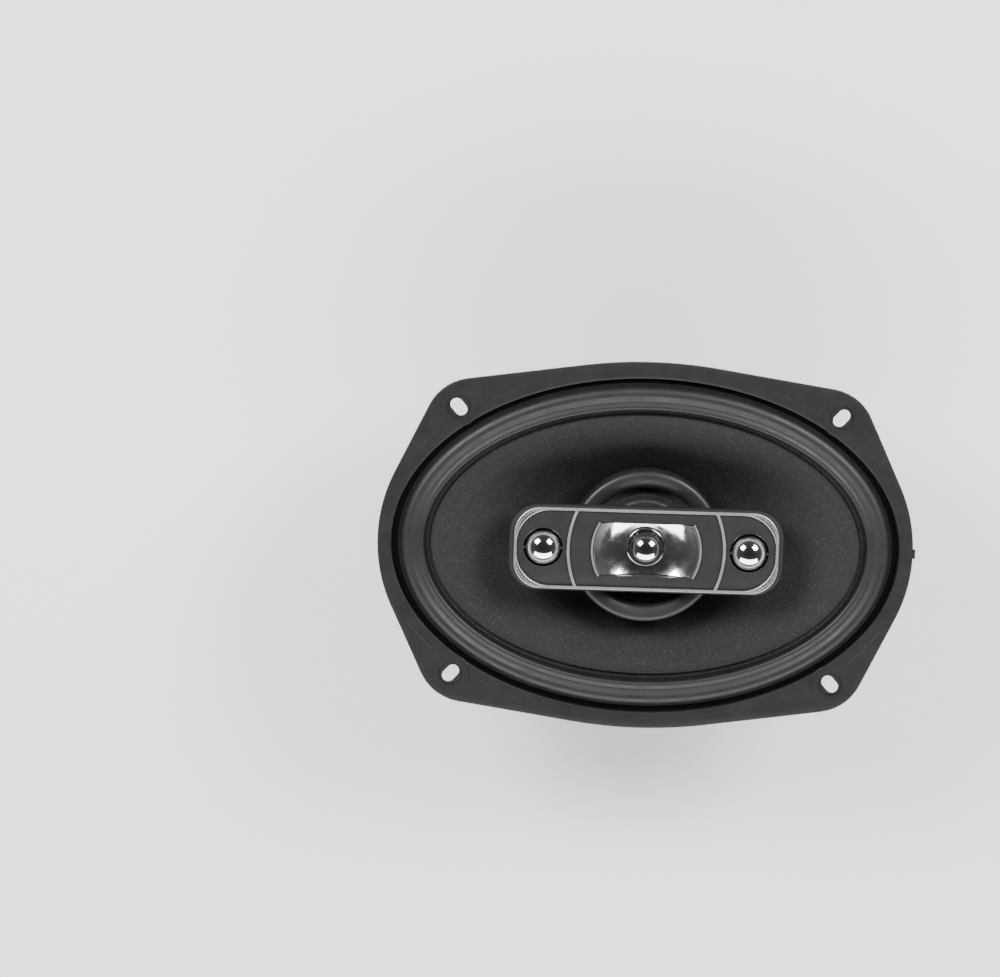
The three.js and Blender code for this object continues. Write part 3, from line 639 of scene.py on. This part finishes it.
def floor():
    look = Look("floor", 0.9)
    look.colour(look.mixed(look.noise(3), (0.8, 0.8, 0.8), (0.83, 0.83, 0.83)))
    obj = raw("floor", loft([ellipse(9000, 9000, 0, 64), ellipse(1, 1, 0, 64)]))
    obj.data.materials.append(look.material)
    obj.location.z = -0.0002


def lights():
    middle = (0, 0, 70)
    softbox("table_light", (0, -1250, 1050), middle, 3200, 900, 68)
    softbox("left_light", (-850, 780, 1050), middle, 620, 620, 36)
    softbox("right_light", (850, 780, 1050), middle, 620, 620, 36)


# ---- Basket ----
def basket_shell():
    low = BASKET_FLOOR + SHEET / 2
    seat = SPIDER_SEAT - SHEET / 2
    ledge = LEDGE_TOP - SHEET / 2
    middle = [
        (19, 19, low),
        (34.6, 34.6, low),
        (36.8, 36.8, low + 1.6),
        (38, 38, seat),
        (44.4, 44.4, seat),
        (46, 46, seat + 0.9),
        (62.1, 51.9, 44.7),
        (83.9, 60, 55.8),
        (99.3, 66, 66.9),
        (105, 67.8, ledge - 1),
        (106.2, 69, ledge),
        (RIM_RX + SHEET / 2, RIM_RY + SHEET / 2, ledge),
        (RIM_RX + SHEET / 2, RIM_RY + SHEET / 2, FLANGE_REAR + 0.6),
    ]
    inside, outside = sheet_sides(bent(middle, 1.6), SHEET)
    rings = [ellipse(*place) for place in inside]
    rings += [ellipse(RIM_RX + r, RIM_RY + r, z) for r, z in ((0, 81.5), (0.15, 81.85), (0.5, 82))]
    rings += [ellipse(RIM_RX + 1.6, RIM_RY + 1.6, FLANGE_FRONT)]
    edge = ((3.4, 82), (0.9, 82), (0.45, 81.9), (0.12, 81.6), (0, 81.2), (0, 80.2), (0.3, 80))
    rings += [frame_ring(inset, z) for inset, z in edge]
    below = [place for place in outside if place[2] < FLANGE_REAR - 0.1]
    rings += [ellipse(below[-1][0], below[-1][1], FLANGE_REAR)]
    rings += [ellipse(*place) for place in reversed(below)]
    return loft(rings, wrap=True)


def window_ring(start, end, z):
    """A window between two legs, in plan: its ends are at two angles, with rounded corners."""
    inner, outer = (54.0, 50.0), (98.5, 65.2)
    turn, step, run = 5.0, 0.16, 16

    def at(across, degrees):
        angle = math.radians(degrees)
        rx, ry = (lerp(a, b, across) for a, b in zip(inner, outer))
        return Vector((rx * math.cos(angle), ry * math.sin(angle)))

    def corner(first, peak, last):
        ts = [i / 6 for i in range(7)]
        return [first * (1 - t) ** 2 + peak * 2 * t * (1 - t) + last * t * t for t in ts]

    points = corner(at(1 - step, start), at(1, start), at(1, start + turn))
    points += [at(1, lerp(start + turn, end - turn, i / run)) for i in range(1, run)]
    points += corner(at(1, end - turn), at(1, end), at(1 - step, end))
    points += corner(at(step, end), at(0, end), at(0, end - turn))
    points += [at(0, lerp(end - turn, start + turn, i / run)) for i in range(1, run)]
    points += corner(at(0, start + turn), at(0, start), at(step, start))
    return [(point.x, point.y, z) for point in points]


def on_leg(x):
    """Places a shape made about Z on the sloping leg, with its +Z pointing out of the leg."""
    turn = Matrix.Rotation(math.pi - LEG_SLOPE, 4, "X")
    return Matrix.Translation((x, LEG_Y, LEG_Z)) @ turn


def slot_ring(half_length, radius, steps=12):
    ring = []
    for end, first in ((1, -90), (-1, 90)):
        for i in range(steps + 1):
            turn = math.radians(first + 180 * i / steps)
            ring.append((end * half_length + radius * math.cos(turn), radius * math.sin(turn)))
    return ring


def slot_cutter(sign_x, sign_y):
    """A slot with a softened front edge."""
    turn = Matrix.Rotation(math.radians(SLOT_ANGLE * sign_x * sign_y), 4, "Z")
    place = Matrix.Translation((sign_x * SLOT_X, sign_y * SLOT_Y, 0)) @ turn
    levels = ((0.0, 79), (0.0, 81.2), (0.25, 81.45), (0.25, 83))
    rings = [[(x, y, z) for x, y in slot_ring(1.5, 2.8 + grow)] for grow, z in levels]
    return placed(loft(rings, capped=True), place)


def rivet_places():
    reach = 27 * math.sqrt(0.5)
    return [(sign_x * reach, sign_y * reach) for sign_x, sign_y in CORNERS]


def ear_lines(sign_x, sign_y):
    """Three fine raised lines on an ear: one round the slot's pan and two along the opening."""
    mirror = Matrix.Diagonal((sign_x, sign_y, 1, 1))
    spans = ((SLOT_X, SLOT_Y, 8.4, 8.4, 150, 250), (0, 0, RIM_RX + 5.2, RIM_RY + 5.2, 26, 38))
    spans += ((0, 0, RIM_RX + 4.6, RIM_RY + 4.6, 53, 64),)
    made = []
    for x, y, rx, ry, start, end in spans:
        turns = [math.radians(lerp(start, end, i / 24)) for i in range(25)]
        path = [(x + rx * math.cos(t), y + ry * math.sin(t), FLANGE_FRONT - 0.05) for t in turns]
        made.append(placed(swept(path, circle(0.3, 10), flat=True), mirror))
    return made


def basket():
    obj = raw("basket_body", basket_shell())
    tab = block((117, -2, 80), (119.2, 2, 81.3))
    carve(obj, "UNION", tab)
    windows = [
        loft([window_ring(start + half, end + half, z) for z in (SPIDER_SEAT, 73)], capped=True)
        for start, end in ((13, 76), (104, 167))
        for half in (0, 180)
    ]
    carve(obj, "DIFFERENCE", *windows)
    pans = [
        turned([(0, 84), (5.5, 84), (5.35, 82), (5.0, 81.4), (0, 81.4)], 48, x * SLOT_X, y * SLOT_Y)
        for x, y in CORNERS
    ]
    carve(obj, "DIFFERENCE", *pans)
    carve(obj, "DIFFERENCE", *[slot_cutter(*corner) for corner in CORNERS])
    carve(obj, "UNION", *[line for corner in CORNERS for line in ear_lines(*corner)])
    holes = [turned([(0, 29), (2.1, 29), (2.1, 34), (0, 34)], 24, x, y) for x, y in rivet_places()]
    for sign in (-1, 1):
        rivet_hole = turned([(0, -4), (1.8, -4), (1.8, 4), (0, 4)], 24)
        lead_hole = turned([(0, -4), (2, -4), (2, 4), (0, 4)], 24)
        holes.append(placed(rivet_hole, on_leg(sign * TERMINAL_RIVET_X)))
        holes.append(placed(lead_hole, on_leg(sign * TERMINAL_X)))
    carve(obj, "DIFFERENCE", *holes)
    piece("basket_body", obj, PAINT, CHASSIS, ["basket"], 26)


# ---- Woofer ----
# The surround's middle line as (distance inwards, rise). Its inner foot runs under the cone's lip.
ROLL_LINE = (
    (0, 0), (0.45, 0), (0.8, 0.5), (1.4, 1.7), (2.4, 2.85), (3.8, 3.4), (5.2, 3.3), (6.6, 2.65),
    (7.9, 2.25), (9, 2.55), (10, 2.85), (10.9, 2.5), (11.5, 1.2), (11.8, -0.3), (12.1, -1.7),
    (12.5, -2.15), (13.1, -2.2), (15.2, -2.2),
)


def surround():
    middle = LEDGE_TOP + 0.3 + 0.4
    line = [(SURROUND_RX - a, SURROUND_RY - a, middle + rise) for a, rise in smooth(ROLL_LINE, 4)]
    front, back = sheet_sides(line, 0.8)
    obj = raw("surround_rolls", loft([ellipse(*p) for p in front + back[::-1]], wrap=True))
    piece("surround_rolls", obj, RUBBER, None, ["surround"], 60)

    def share(point):
        angle = math.atan2(point.y / SURROUND_RY, point.x / SURROUND_RX)
        edge = Vector((SURROUND_RX * math.cos(angle), SURROUND_RY * math.sin(angle)))
        inward = (edge - point.to_2d()).length
        still, carried = 1.5, 10.8
        return (inward - still) / (carried - still)

    blended(obj, share)
    # Painted shade: a thin near-black strip on the ledge, between the surround's edge and the frame's wall,
    # darkens the gap that lies in shade.
    low, high = LEDGE_TOP + 0.05, LEDGE_TOP + 0.45
    profile = bent([(-0.3, low), (-2.7, low), (-2.7, high), (-0.3, high)], 0.15, 3, True)
    rings = [ellipse(SURROUND_RX - a, SURROUND_RY - a + 0.2, z) for a, z in profile]
    piece("ledge_shade_strip", loft(rings, wrap=True), LEDGE_SHADE, CHASSIS, [], 40)


def cone_line():
    line = [(CONE_NECK, CONE_NECK, 41.6)]
    steps = 28
    for i in range(steps + 1):
        t = i / steps
        rise = 1 - (1 - t) ** 1.25
        rx, ry = lerp(CONE_NECK, CONE_RX, t), lerp(CONE_NECK, CONE_RY, t)
        line.append((rx, ry, lerp(42.6, 78.2, rise)))
    lip = 79 - 0.45
    for rx, ry, drop in ((90.1, 54.9, 0.12), (90.6, 55.4, 0.02), (91.2, 56, 0), (94.6, 57.9, 0)):
        line.append((rx, ry, lip - drop))
    return line


def cone():
    front, back = sheet_sides(cone_line(), 0.9)
    shape = loft([ellipse(*place) for place in front + back[::-1]], wrap=True)
    piece("cone_body", shape, PAPER, WOOFER, ["cone"], 35)


def spider():
    middle = SPIDER_SEAT + 0.3 + 0.35
    line = [(13.6, 0), (14.6, 0)]
    steps = 48
    for i in range(steps + 1):
        t = i / steps
        wave = 0.45 * (1 - math.cos(TURN * 4 * t))
        line.append((lerp(17, 38.5, t), wave))
    line.append((42.8, 0))
    front, back = sheet_sides([(r, r, middle + rise) for r, rise in line], 0.55)
    obj = raw("spider_cloth", loft([ellipse(*p, 128) for p in front + back[::-1]], wrap=True))
    piece("spider_cloth", obj, CLOTH, None, ["spider"], 60)
    still, carried = 39, 16.5
    blended(obj, lambda point: (still - point.to_2d().length) / (still - carried))


def voice_coil():
    former = [(12.72, 22), (13.08, 22), (13.08, 44), (12.72, 44)]
    shape = turned(bent(former, 0.1, 2, True), SMALL)
    piece("coil_former", shape, AMBER_FILM, WOOFER, ["voice_coil_former"])
    wire = [(13.42, 24.1)]
    turns = 22
    for i in range(turns * 6 + 1):
        z = lerp(24.1, 32.9, i / (turns * 6))
        wire.append((13.86 + 0.12 * abs(math.sin(math.pi * i / 6)), z))
    wire.append((13.42, 32.9))
    piece("coil_winding", turned(wire, SMALL), COPPER, WOOFER, ["voice_coil"])


def tinsel_leads():
    still, carried = -52, -18
    for pole, side in POLES:
        route = smooth(
            [
                (side * TERMINAL_X, LEG_Y - 0.4, LEG_Z - 0.2),
                (side * 8.8, -52, 50.6),
                (side * 8.2, -44, 46.5),
                (side * 7, -34, 42.6),
                (side * 5.6, -24, 42),
                (side * 4.2, -16.6, 41.3),
            ],
            14,
        )

        def twisted(i):
            turns = [TURN * j / 18 for j in range(18)]
            reach = [0.46 + 0.07 * math.cos(3 * turn + i * 0.75) for turn in turns]
            return [(r * math.cos(turn), r * math.sin(turn)) for r, turn in zip(reach, turns)]

        name = f"tinsel_{pole}"
        obj = raw(name, swept(route, twisted))
        piece(name, obj, TINSEL, None, [f"tinsel_lead_{pole}"], 60)
        blended(obj, lambda point: (point.y - still) / (carried - still))


# ---- Boot, terminals and wiring ----
def boot():
    outside = [(0, 0), (43.6, 0), (45, 0.5), (45.6, 1.4), (45.6, 35.2), (45.2, 35.8), (44.4, 36)]
    inside = [(44.1, 35.8), (44, 35.4), (44, 2.6), (43.4, 2), (0, 2)]
    obj = raw("boot_cup", turned(outside + inside, 192))
    thin, stepped = [], []
    for group in range(4):
        middle = 45 + 90 * group
        for offset in (-14, 0, 14):
            fin = block((44.8, -0.75, 1.4), (47.9, 0.75, 33.6))
            thin.append(placed(fin, Matrix.Rotation(math.radians(middle + offset), 4, "Z")))
        for offset in (-29, 29):
            rib = block((44.6, -2.6, 1.0), (46.5, 2.6, 34.4))
            stepped.append(placed(rib, Matrix.Rotation(math.radians(middle + offset), 4, "Z")))
    carve(obj, "UNION", *thin, *stepped)
    grooves = [
        placed(block((45.1, -0.35, 3), (47, 0.35, 37)), Matrix.Rotation(math.radians(a), 4, "Z"))
        for group in range(4)
        for a in (45 + 90 * group - 38, 45 + 90 * group + 38)
    ]
    carve(obj, "DIFFERENCE", *grooves, block((-2, -50, 30), (2, -42, 37)))
    piece("boot_cup", obj, BOOT, CHASSIS, ["magnet_boot"])
    bevel = obj.modifiers.new("edges", "BEVEL")
    bevel.width = 0.25 * MM
    bevel.segments = 2
    bevel.limit_method = "ANGLE"
    bevel.angle_limit = math.radians(50)


def soft_prism(half_x, half_y, corner, bottom, top, edge=0.5, x=0.0, y=0.0):
    levels = [(edge, bottom), (edge * 0.3, bottom + edge * 0.3), (0, bottom + edge)]
    levels += [(0, top - edge), (edge * 0.3, top - edge * 0.3), (edge, top)]

    def ring_at(inset, z):
        reach = corner - inset * 0.9
        return rounded_rectangle(half_x - inset, half_y - inset, max(reach, 0.1), z, 8, x, y)

    return prism(ring_at, levels)


def blade_width(side):
    return 6.3 if side > 0 else 4.8


def to_leg(obj, x):
    """Moves a mesh made in the leg's own frame to the leg."""
    obj.data.transform(Matrix.Scale(MM, 4) @ on_leg(x) @ Matrix.Scale(1 / MM, 4))


def terminal_block():
    obj = raw("terminal_board", soft_prism(20, 6.5, 1.2, BLOCK_BACK, BLOCK_FRONT, 0.6))
    cuts = []
    for _, side in POLES:
        x = side * TERMINAL_X
        rivet_x = side * TERMINAL_RIVET_X
        cuts.append(turned([(0, -1), (1.8, -1), (1.8, 8), (0, 8)], 32, rivet_x))
        half = blade_width(side) / 2 + 0.3
        low, high = BLOCK_FRONT - 2.9, BLOCK_FRONT - 1.5
        cuts.append(block((x - half, -9, low), (x + half, -0.0, high)))
    carve(obj, "DIFFERENCE", *cuts)
    to_leg(obj, 0)
    piece("terminal_board", obj, POST, CHASSIS, ["terminal_block"])


def blade(pole, side):
    """A flat blade with softened edges, clipped corners and a hole near its end."""
    half = blade_width(side) / 2
    inner, outer = -0.5, -15.5
    middle_y, middle_z = (inner + outer) / 2, BLOCK_FRONT - 2.2
    plan = [(half, inner), (-half, inner), (-half, outer + 1.6), (1.2 - half, outer)]
    plan += [(half - 1.2, outer), (half, outer + 1.6)]
    rings = []
    for inset, z in ((0.25, -0.38), (0, -0.25), (0, 0.25), (0.25, 0.38)):
        along, across = 1 - inset / 7.5, 1 - inset / half
        rings.append(
            [(x * across, middle_y + (y - middle_y) * along, middle_z + z) for x, y in plan]
        )
    obj = raw(f"blade_{pole}", loft(rings, capped=True))
    low, high = middle_z - 2, middle_z + 2
    carve(obj, "DIFFERENCE", turned([(0, low), (0.85, low), (0.85, high), (0, high)], 32, 0, -11.9))
    to_leg(obj, side * TERMINAL_X)
    piece(f"blade_{pole}", obj, GOLD, CHASSIS, [f"terminal_{pole}"])


def board_rivet(number, side):
    top = BLOCK_FRONT + FOOT
    profile = [(0, -1.6), (1.2, -1.6), (1.5, -1.3), (1.5, top), (2.7, top), (2.75, top + 0.4)]
    profile += [(2.3, top + 1.0), (1.6, top + 1.25), (1.1, top + 1.3), (0.9, top + 0.9)]
    profile.append((0, top + 0.8))
    rivet = placed(turned(profile, 48), on_leg(side * TERMINAL_RIVET_X))
    name = f"board_rivet_{number}"
    piece(name, rivet, STEEL, CHASSIS, [f"terminal_rivet_{number}"])


def blades_and_rivets():
    for number, (pole, side) in zip((2, 1), POLES):
        blade(pole, side)
        board_rivet(number, side)


def capacitor():
    bottom = BLOCK_FRONT + FOOT
    shape = placed(soft_prism(6, 4, 1.9, bottom, bottom + 5, 1.2, 0, 1.5), on_leg(0))
    piece("filter_capacitor", shape, WRAP, CHASSIS, ["capacitor"])
    for pole, side in POLES:
        ends = ((5.8, 1.5, 1.5), (6.6, 1.4, 1.3), (7, 1.2, -0.6))
        route = smooth([(side * x, y, bottom + rise) for x, y, rise in ends], 6)
        lead = placed(swept(route, circle(0.3, 12)), on_leg(0))
        piece(f"capacitor_lead_{pole}", lead, STEEL, CHASSIS, [])


CABLE_ROUTE = (
    (0, 0, 63.9), (0, 0, 45), (0, 0, 25), (0, 0, 8), (0, -0.1, 5.9), (0, -0.9, 4.2), (0, -3, 3.4),
    (0, -6, 3.3), (0, -20, 3.3), (0, -37.55, 3.3), (0, -41.25, 4.6), (0, -42.55, 8.3),
    (0, -42.55, 20), (0, -42.55, 29), (0, -43.55, 32.8), (0, -47.4, 34.9), (0, -52.2, 38),
    (0, -55, 41.5),
)


def cable():
    shape = swept(smooth(CABLE_ROUTE, 8), circle(0.85, 20))
    piece("tweeter_lead", shape, JACKET, CHASSIS, ["tweeter_cable"], 60)


# ---- Midrange ----
def screw_holes(low, high):
    profile = [(0, low), (SCREW_HOLE, low), (SCREW_HOLE, high), (0, high)]
    return [turned(profile, 32, side * SCREW_X) for _, side in SIDES]


def midrange():
    post = [(1.8, 9.9), (2.6, 4.9), (3, 4.9), (3, 31.3), (6.6, 31.3), (7, 31.8), (7, 57)]
    post += [(8.2, 58.4), (13.4, 59.8), (14, 60.3), (14, 61.8), (13.8, 62), (1.8, 62)]
    piece("hollow_post", turned(post, SMALL), POST, CHASSIS, ["tweeter_post"], 28)
    cup = [(2, 62.3), (22, 62.3), (24, 62.9), (33, 70.5), (33.8, 72.5), (33.8, 77.7), (32.2, 77.7)]
    cup += [(32.2, 72), (23.3, 64.6), (2, 64.6)]
    shape = turned(bent(cup, 0.7, 3, True))
    piece("mid_cup", shape, POST, CHASSIS, ["mid_housing"], 28)
    ring = [(26.1, 78.02), (33.5, 78), (33.8, 78.3), (33.8, 81), (33.6, 81.8), (33.2, 82.4)]
    ring += [(32.5, 82.8), (31.5, 82.97), (30, 82.8), (28.4, 82.4), (27.2, 81.8), (26.4, 81)]
    ring += [(26, 80), (25.85, 78.4)]
    obj = raw("mid_ring", turned(ring))
    carve(obj, "DIFFERENCE", *screw_holes(76, 85))
    piece("mid_ring", obj, BEZEL, CHASSIS, ["mid_bezel"], 45)
    top = [(0, 75.4), (2, 75.33), (4, 75.1), (6, 74.75), (7.6, 74.4), (9, 73.95), (10.4, 73.6)]
    top += [(11, 73.5), (11.6, 73.45), (12.2, 73.5), (14, 73.75), (14.8, 74.15), (15.4, 74.2)]
    top += [(16, 74), (17.2, 74.1), (18, 74.7), (18.6, 74.8), (19.3, 74.35), (20.4, 74.5)]
    top += [(21.2, 75.2), (21.8, 75.3), (22.5, 74.85), (23.4, 75.05), (24.4, 75.75)]
    top += [(25.2, 75.88), (25.6, 75.88), (27.3, 75.9)]
    under = [(r, z - 0.4) for r, z in reversed(top)]
    film = turned(top + under)
    piece("mid_film", film, FILM, MID_CONE, ["mid_diaphragm"], 40)


# ---- Bridge ----
def bowl_line(lift=0.0, inward=0.0):
    return [(r - inward, z + lift) for r, z in smooth(DISH_BOWL, 6)]


def clipped(name, shape, half_height):
    obj = raw(name, shape)
    carve(obj, "INTERSECT", block((-60, -half_height, 60), (60, half_height, 110)))
    return obj


def mesh_shape(obj):
    """An object's mesh as a shape in millimetres. The object is used up."""
    points = [tuple(vertex.co / MM) for vertex in obj.data.vertices]
    faces = [tuple(face.vertices) for face in obj.data.polygons]
    bpy.data.objects.remove(obj)
    return points, faces


def slab_ring(inset, z):
    corner = BRIDGE_CORNER - inset
    return rounded_rectangle(BRIDGE_X - inset, BRIDGE_Y - inset, corner, z, 16)


def pod(bottom, top, edge, side):
    return soft_prism(11.6, 16, 6, bottom, top, edge, side * POD_X)


def bridge():
    levels = [(0.5, BRIDGE_BACK), (0.1, 86.5), (0, 86.9), (0, 89.6), (0.15, 90.3), (0.6, 90.8)]
    obj = raw("bridge_body", prism(slab_ring, [*levels, (1.3, BRIDGE_FRONT)]))
    collar = [(THROAT, 78.2), (10.1, 78), (11, 78), (11.2, 78.2)]
    collar += [(r + 0.8, z - 1.1) for r, z in DISH_BOWL[:3]]
    collar += [(DISH_RIM, BRIDGE_INSIDE), (THROAT, BRIDGE_INSIDE)]
    collar_body = clipped("collar", turned(collar, SMALL), COLLAR_REACH)
    carve(obj, "UNION", mesh_shape(collar_body))
    boss = [(0, 83.3), (2.7, 83.3), (2.7, BRIDGE_INSIDE), (0, BRIDGE_INSIDE)]
    carve(obj, "UNION", *[turned(boss, 48, side * SCREW_X) for _, side in SIDES])
    carve(obj, "UNION", *[pod(POD_BACK, BRIDGE_INSIDE, 0.3, side) for _, side in SIDES])
    bowl = [(0, 84.2)] + bowl_line() + [(DISH_RIM, 95), (0, 95)]
    bowl_body = clipped("bowl", turned(bowl, ROUND), DISH_HALF_HEIGHT)
    carve(obj, "DIFFERENCE", mesh_shape(bowl_body))
    carve(obj, "DIFFERENCE", turned([(0, 77), (THROAT, 77), (THROAT, 85), (0, 85)], SMALL))
    recess = [(0, 79), (RECESS, 79), (RECESS, 87.6), (8.6, 88.3), (8.6, 90.7), (8.9, BRIDGE_FRONT)]
    recess += [(8.9, 92), (0, 92)]
    cuts = [turned(recess, SMALL, side * SUPER_X) for _, side in SIDES]
    carve(obj, "DIFFERENCE", *cuts, *screw_holes(83, 89.5))
    piece("bridge_body", obj, PANEL, CHASSIS, ["bridge_housing"], 28)
    for name, side in SIDES:
        lid = pod(78, POD_BACK - FOOT, 0.4, side)
        piece(f"pod_lid_{name}", lid, POST, CHASSIS, [f"pod_cover_{name}"])


# A rounded bar's section as (share of its width, rise).
LINE_SECTION = (
    (0.5, 0.0), (0.5, 0.42), (0.34, 0.64), (0, TRIM_HEIGHT), (-0.34, 0.64), (-0.5, 0.42), (-0.5, 0),
)


def line_section(width):
    return [(share * width, TRIM_SEAT + rise) for share, rise in LINE_SECTION]


def border():
    """The bright border, thick at its corners, where shallow ridges cross it."""
    steps = 60
    outer = rounded_rectangle(*BORDER_OUTER, 0, steps)
    inner = rounded_rectangle(*BORDER_INNER, 0, steps)

    def between(t, rise, ridges=0.0):
        ring = []
        for i, (a, b) in enumerate(zip(outer, inner)):
            share = i % (steps + 1) / steps
            swell = math.sin(math.pi * share)
            cut = ridges * swell * (0.6 + 0.4 * math.cos(TURN * 15 * share))
            ring.append((lerp(a[0], b[0], t), lerp(a[1], b[1], t), TRIM_SEAT + rise - cut))
        return ring

    profile = ((0, 0), (0, 0.42), (0.12, 0.64), (0.3, TRIM_HEIGHT), (0.4, 0.68, 0.42))
    profile += ((0.75, 0.68, 0.42), (0.82, 0.69), (0.92, 0.62), (1, 0.42), (1, 0))
    return loft([between(*place) for place in profile], wrap=True)


def corner_point(half_x, half_y, corner, turn):
    middle = Vector((half_x - corner, half_y - corner))
    return middle + Vector((math.cos(turn), math.sin(turn))) * corner


def corner_shade_strip(share):
    """Painted shade: a dark strip laid on one thick corner of the border, where a narrow gap between raised
    lines would lie in shade. share is its place across the border.
    """
    steps, widest, top = 40, 0.42, TRIM_SEAT + TRIM_HEIGHT + 0.04
    points = []
    for i in range(steps + 1):
        turn = math.radians(90 * lerp(0.12, 0.88, i / steps))
        outer, inner = (corner_point(*edge, turn) for edge in (BORDER_OUTER, BORDER_INNER))
        half = widest / 2 * math.sin(math.pi * lerp(0.04, 0.96, i / steps))
        across = (outer - inner).normalized() * half
        middle = outer.lerp(inner, share)
        points.append((middle - across, middle + across))
    rings = [[(*low, top - 0.3), (*low, top), (*high, top), (*high, top - 0.3)] for low, high in points]
    return loft(rings, capped=True)


def arc_path(centre_x, radius, reach, steps=40):
    turns = [math.radians(lerp(-reach, reach, i / steps)) for i in range(steps + 1)]
    return [(centre_x + radius * math.cos(turn), radius * math.sin(turn), 0) for turn in turns]


def trims():
    chord, sagitta, crown = 17.45, 3.7, 34.3
    radius = (chord**2 + sagitta**2) / (2 * sagitta)
    reach = math.degrees(math.asin(chord / radius))
    right = swept(arc_path(crown - radius, radius, reach), line_section(1.25), flat=True)
    left = placed(right, Matrix.Rotation(math.pi, 4, "Z"))
    obj = raw("border_line", border())
    carve(obj, "UNION", right, left)
    piece("border_line", obj, TRIM, CHASSIS, ["bridge_trim"], 40)
    # Painted shade: two dark strips on each thick corner of the border stand in for the shade of narrow
    # gaps.
    grooves = [
        placed(corner_shade_strip(share), Matrix.Diagonal((x, y, 1, 1)))
        for share in (0.33, 0.66)
        for x, y in CORNERS
    ]
    piece("border_shade_strips", joined(*grooves), PANEL, CHASSIS, [], 40)
    arc_radius, arc_half_height = 23.9, 12
    edge = math.degrees(math.asin(arc_half_height / arc_radius))
    for name, side in SIDES:
        band = swept(arc_path(0, arc_radius, edge), line_section(0.95), flat=True)
        turn = Matrix.Rotation(0 if side > 0 else math.pi, 4, "Z")
        node = f"dish_trim_{name}"
        piece(f"dish_line_{name}", placed(band, turn), TRIM, CHASSIS, [node], 40)


def reflector():
    under = [(8.15, 84.15)] + bowl_line(0.3, 0.35)
    face = bowl_line(0.95, 0.75)[::-1] + [(7.75, 84.8)]
    obj = clipped("dish_mirror", turned(under + face), 11.5)
    piece("dish_mirror", obj, SATIN_CHROME, CHASSIS, ["tweeter_reflector"], 40)


def plug(name, x, radius, bottom, height, rib, node):
    """A bright ball held by a dark rib. rib is its half length and its lower and upper height."""
    steps = 28
    profile = [(0, bottom), (radius - 0.4, bottom), (radius - 0.08, bottom + 0.12)]
    for i in range(steps + 1):
        angle = math.radians(lerp(3, 90, i / steps))
        profile.append((radius * math.cos(angle), bottom + height * math.sin(angle)))
    profile[-1] = (0, bottom + height)
    piece(name, turned(profile, 128, x), CHROME, CHASSIS, [node], 35)
    reach, low, high = rib
    bar = soft_prism(reach, 0.45, 0.2, low, high, 0.12, x)
    piece(f"{name}_rib", bar, PANEL, CHASSIS, [], 35)


def small_speakers():
    plug("centre_ball", 0, 7.6, 86, 6.5, (7.9, 85.1, 85.95), "tweeter_phase_plug")
    dome = [(0, 83.6), (1.5, 83.56), (3, 83.45), (4.4, 83.3), (5.6, 83.1), (6.8, 82.85), (7.6, 82.72)]
    dome += [(8.2, 82.95), (8.7, 82.95), (9.2, 82.75)]
    shape = turned(dome + [(r, z - 0.3) for r, z in reversed(dome)], SMALL)
    piece("dome_film", shape, FILM, TWEETER, ["tweeter_dome"], 40)
    for name, side in SIDES:
        x = side * SUPER_X
        plug(f"side_ball_{name}", x, 8.2, 88.3, 7.5, (9, 90, 91.2), f"super_tweeter_plug_{name}")
        film = [(0, 81.6), (2, 81.6), (3.4, 82.1), (5, 82.3), (6.4, 82.9), (8.2, 83.6), (9, 83.6)]
        shape = turned(smooth(film, 4) + [(r, z - 0.4) for r, z in reversed(smooth(film, 4))], SMALL, x)
        node = f"super_tweeter_diaphragm_{name}"
        piece(f"super_film_{name}", shape, SUPER_FILM, CHASSIS, [node], 40)


# ---- CAD pieces that keep their shape ----
KEPT = (
    (STEEL, ("back_plate_pole", "top_plate", "post_nut", "mid_yoke", "mid_top_plate")),
    (STEEL, ("tweeter_yoke", "tweeter_top_plate", "bridge_screw_left", "bridge_screw_right")),
    (STEEL, ("basket_rivet_1", "basket_rivet_2", "basket_rivet_3", "basket_rivet_4")),
    (FERRITE, ("magnet",)),
    (NICKEL, ("mid_magnet", "tweeter_magnet")),
    (BRASS, ("piezo_disc_left", "piezo_disc_right")),
    (COPPER, ("mid_voice_coil", "tweeter_voice_coil")),
)


def keep_inner_parts():
    for material, names in KEPT:
        for name in names:
            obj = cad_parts[name]
            for slot in obj.material_slots:
                slot.material = material
            bevel = obj.modifiers.new("edges", "BEVEL")
            bevel.width = 0.15 * MM
            bevel.segments = 2
            bevel.limit_method = "ANGLE"
            bevel.angle_limit = math.radians(40)


camera()
sky()
lights()
floor()
basket()
surround()
cone()
spider()
voice_coil()
tinsel_leads()
boot()
terminal_block()
blades_and_rivets()
capacitor()
cable()
midrange()
bridge()
trims()
reflector()
small_speakers()
keep_inner_parts()
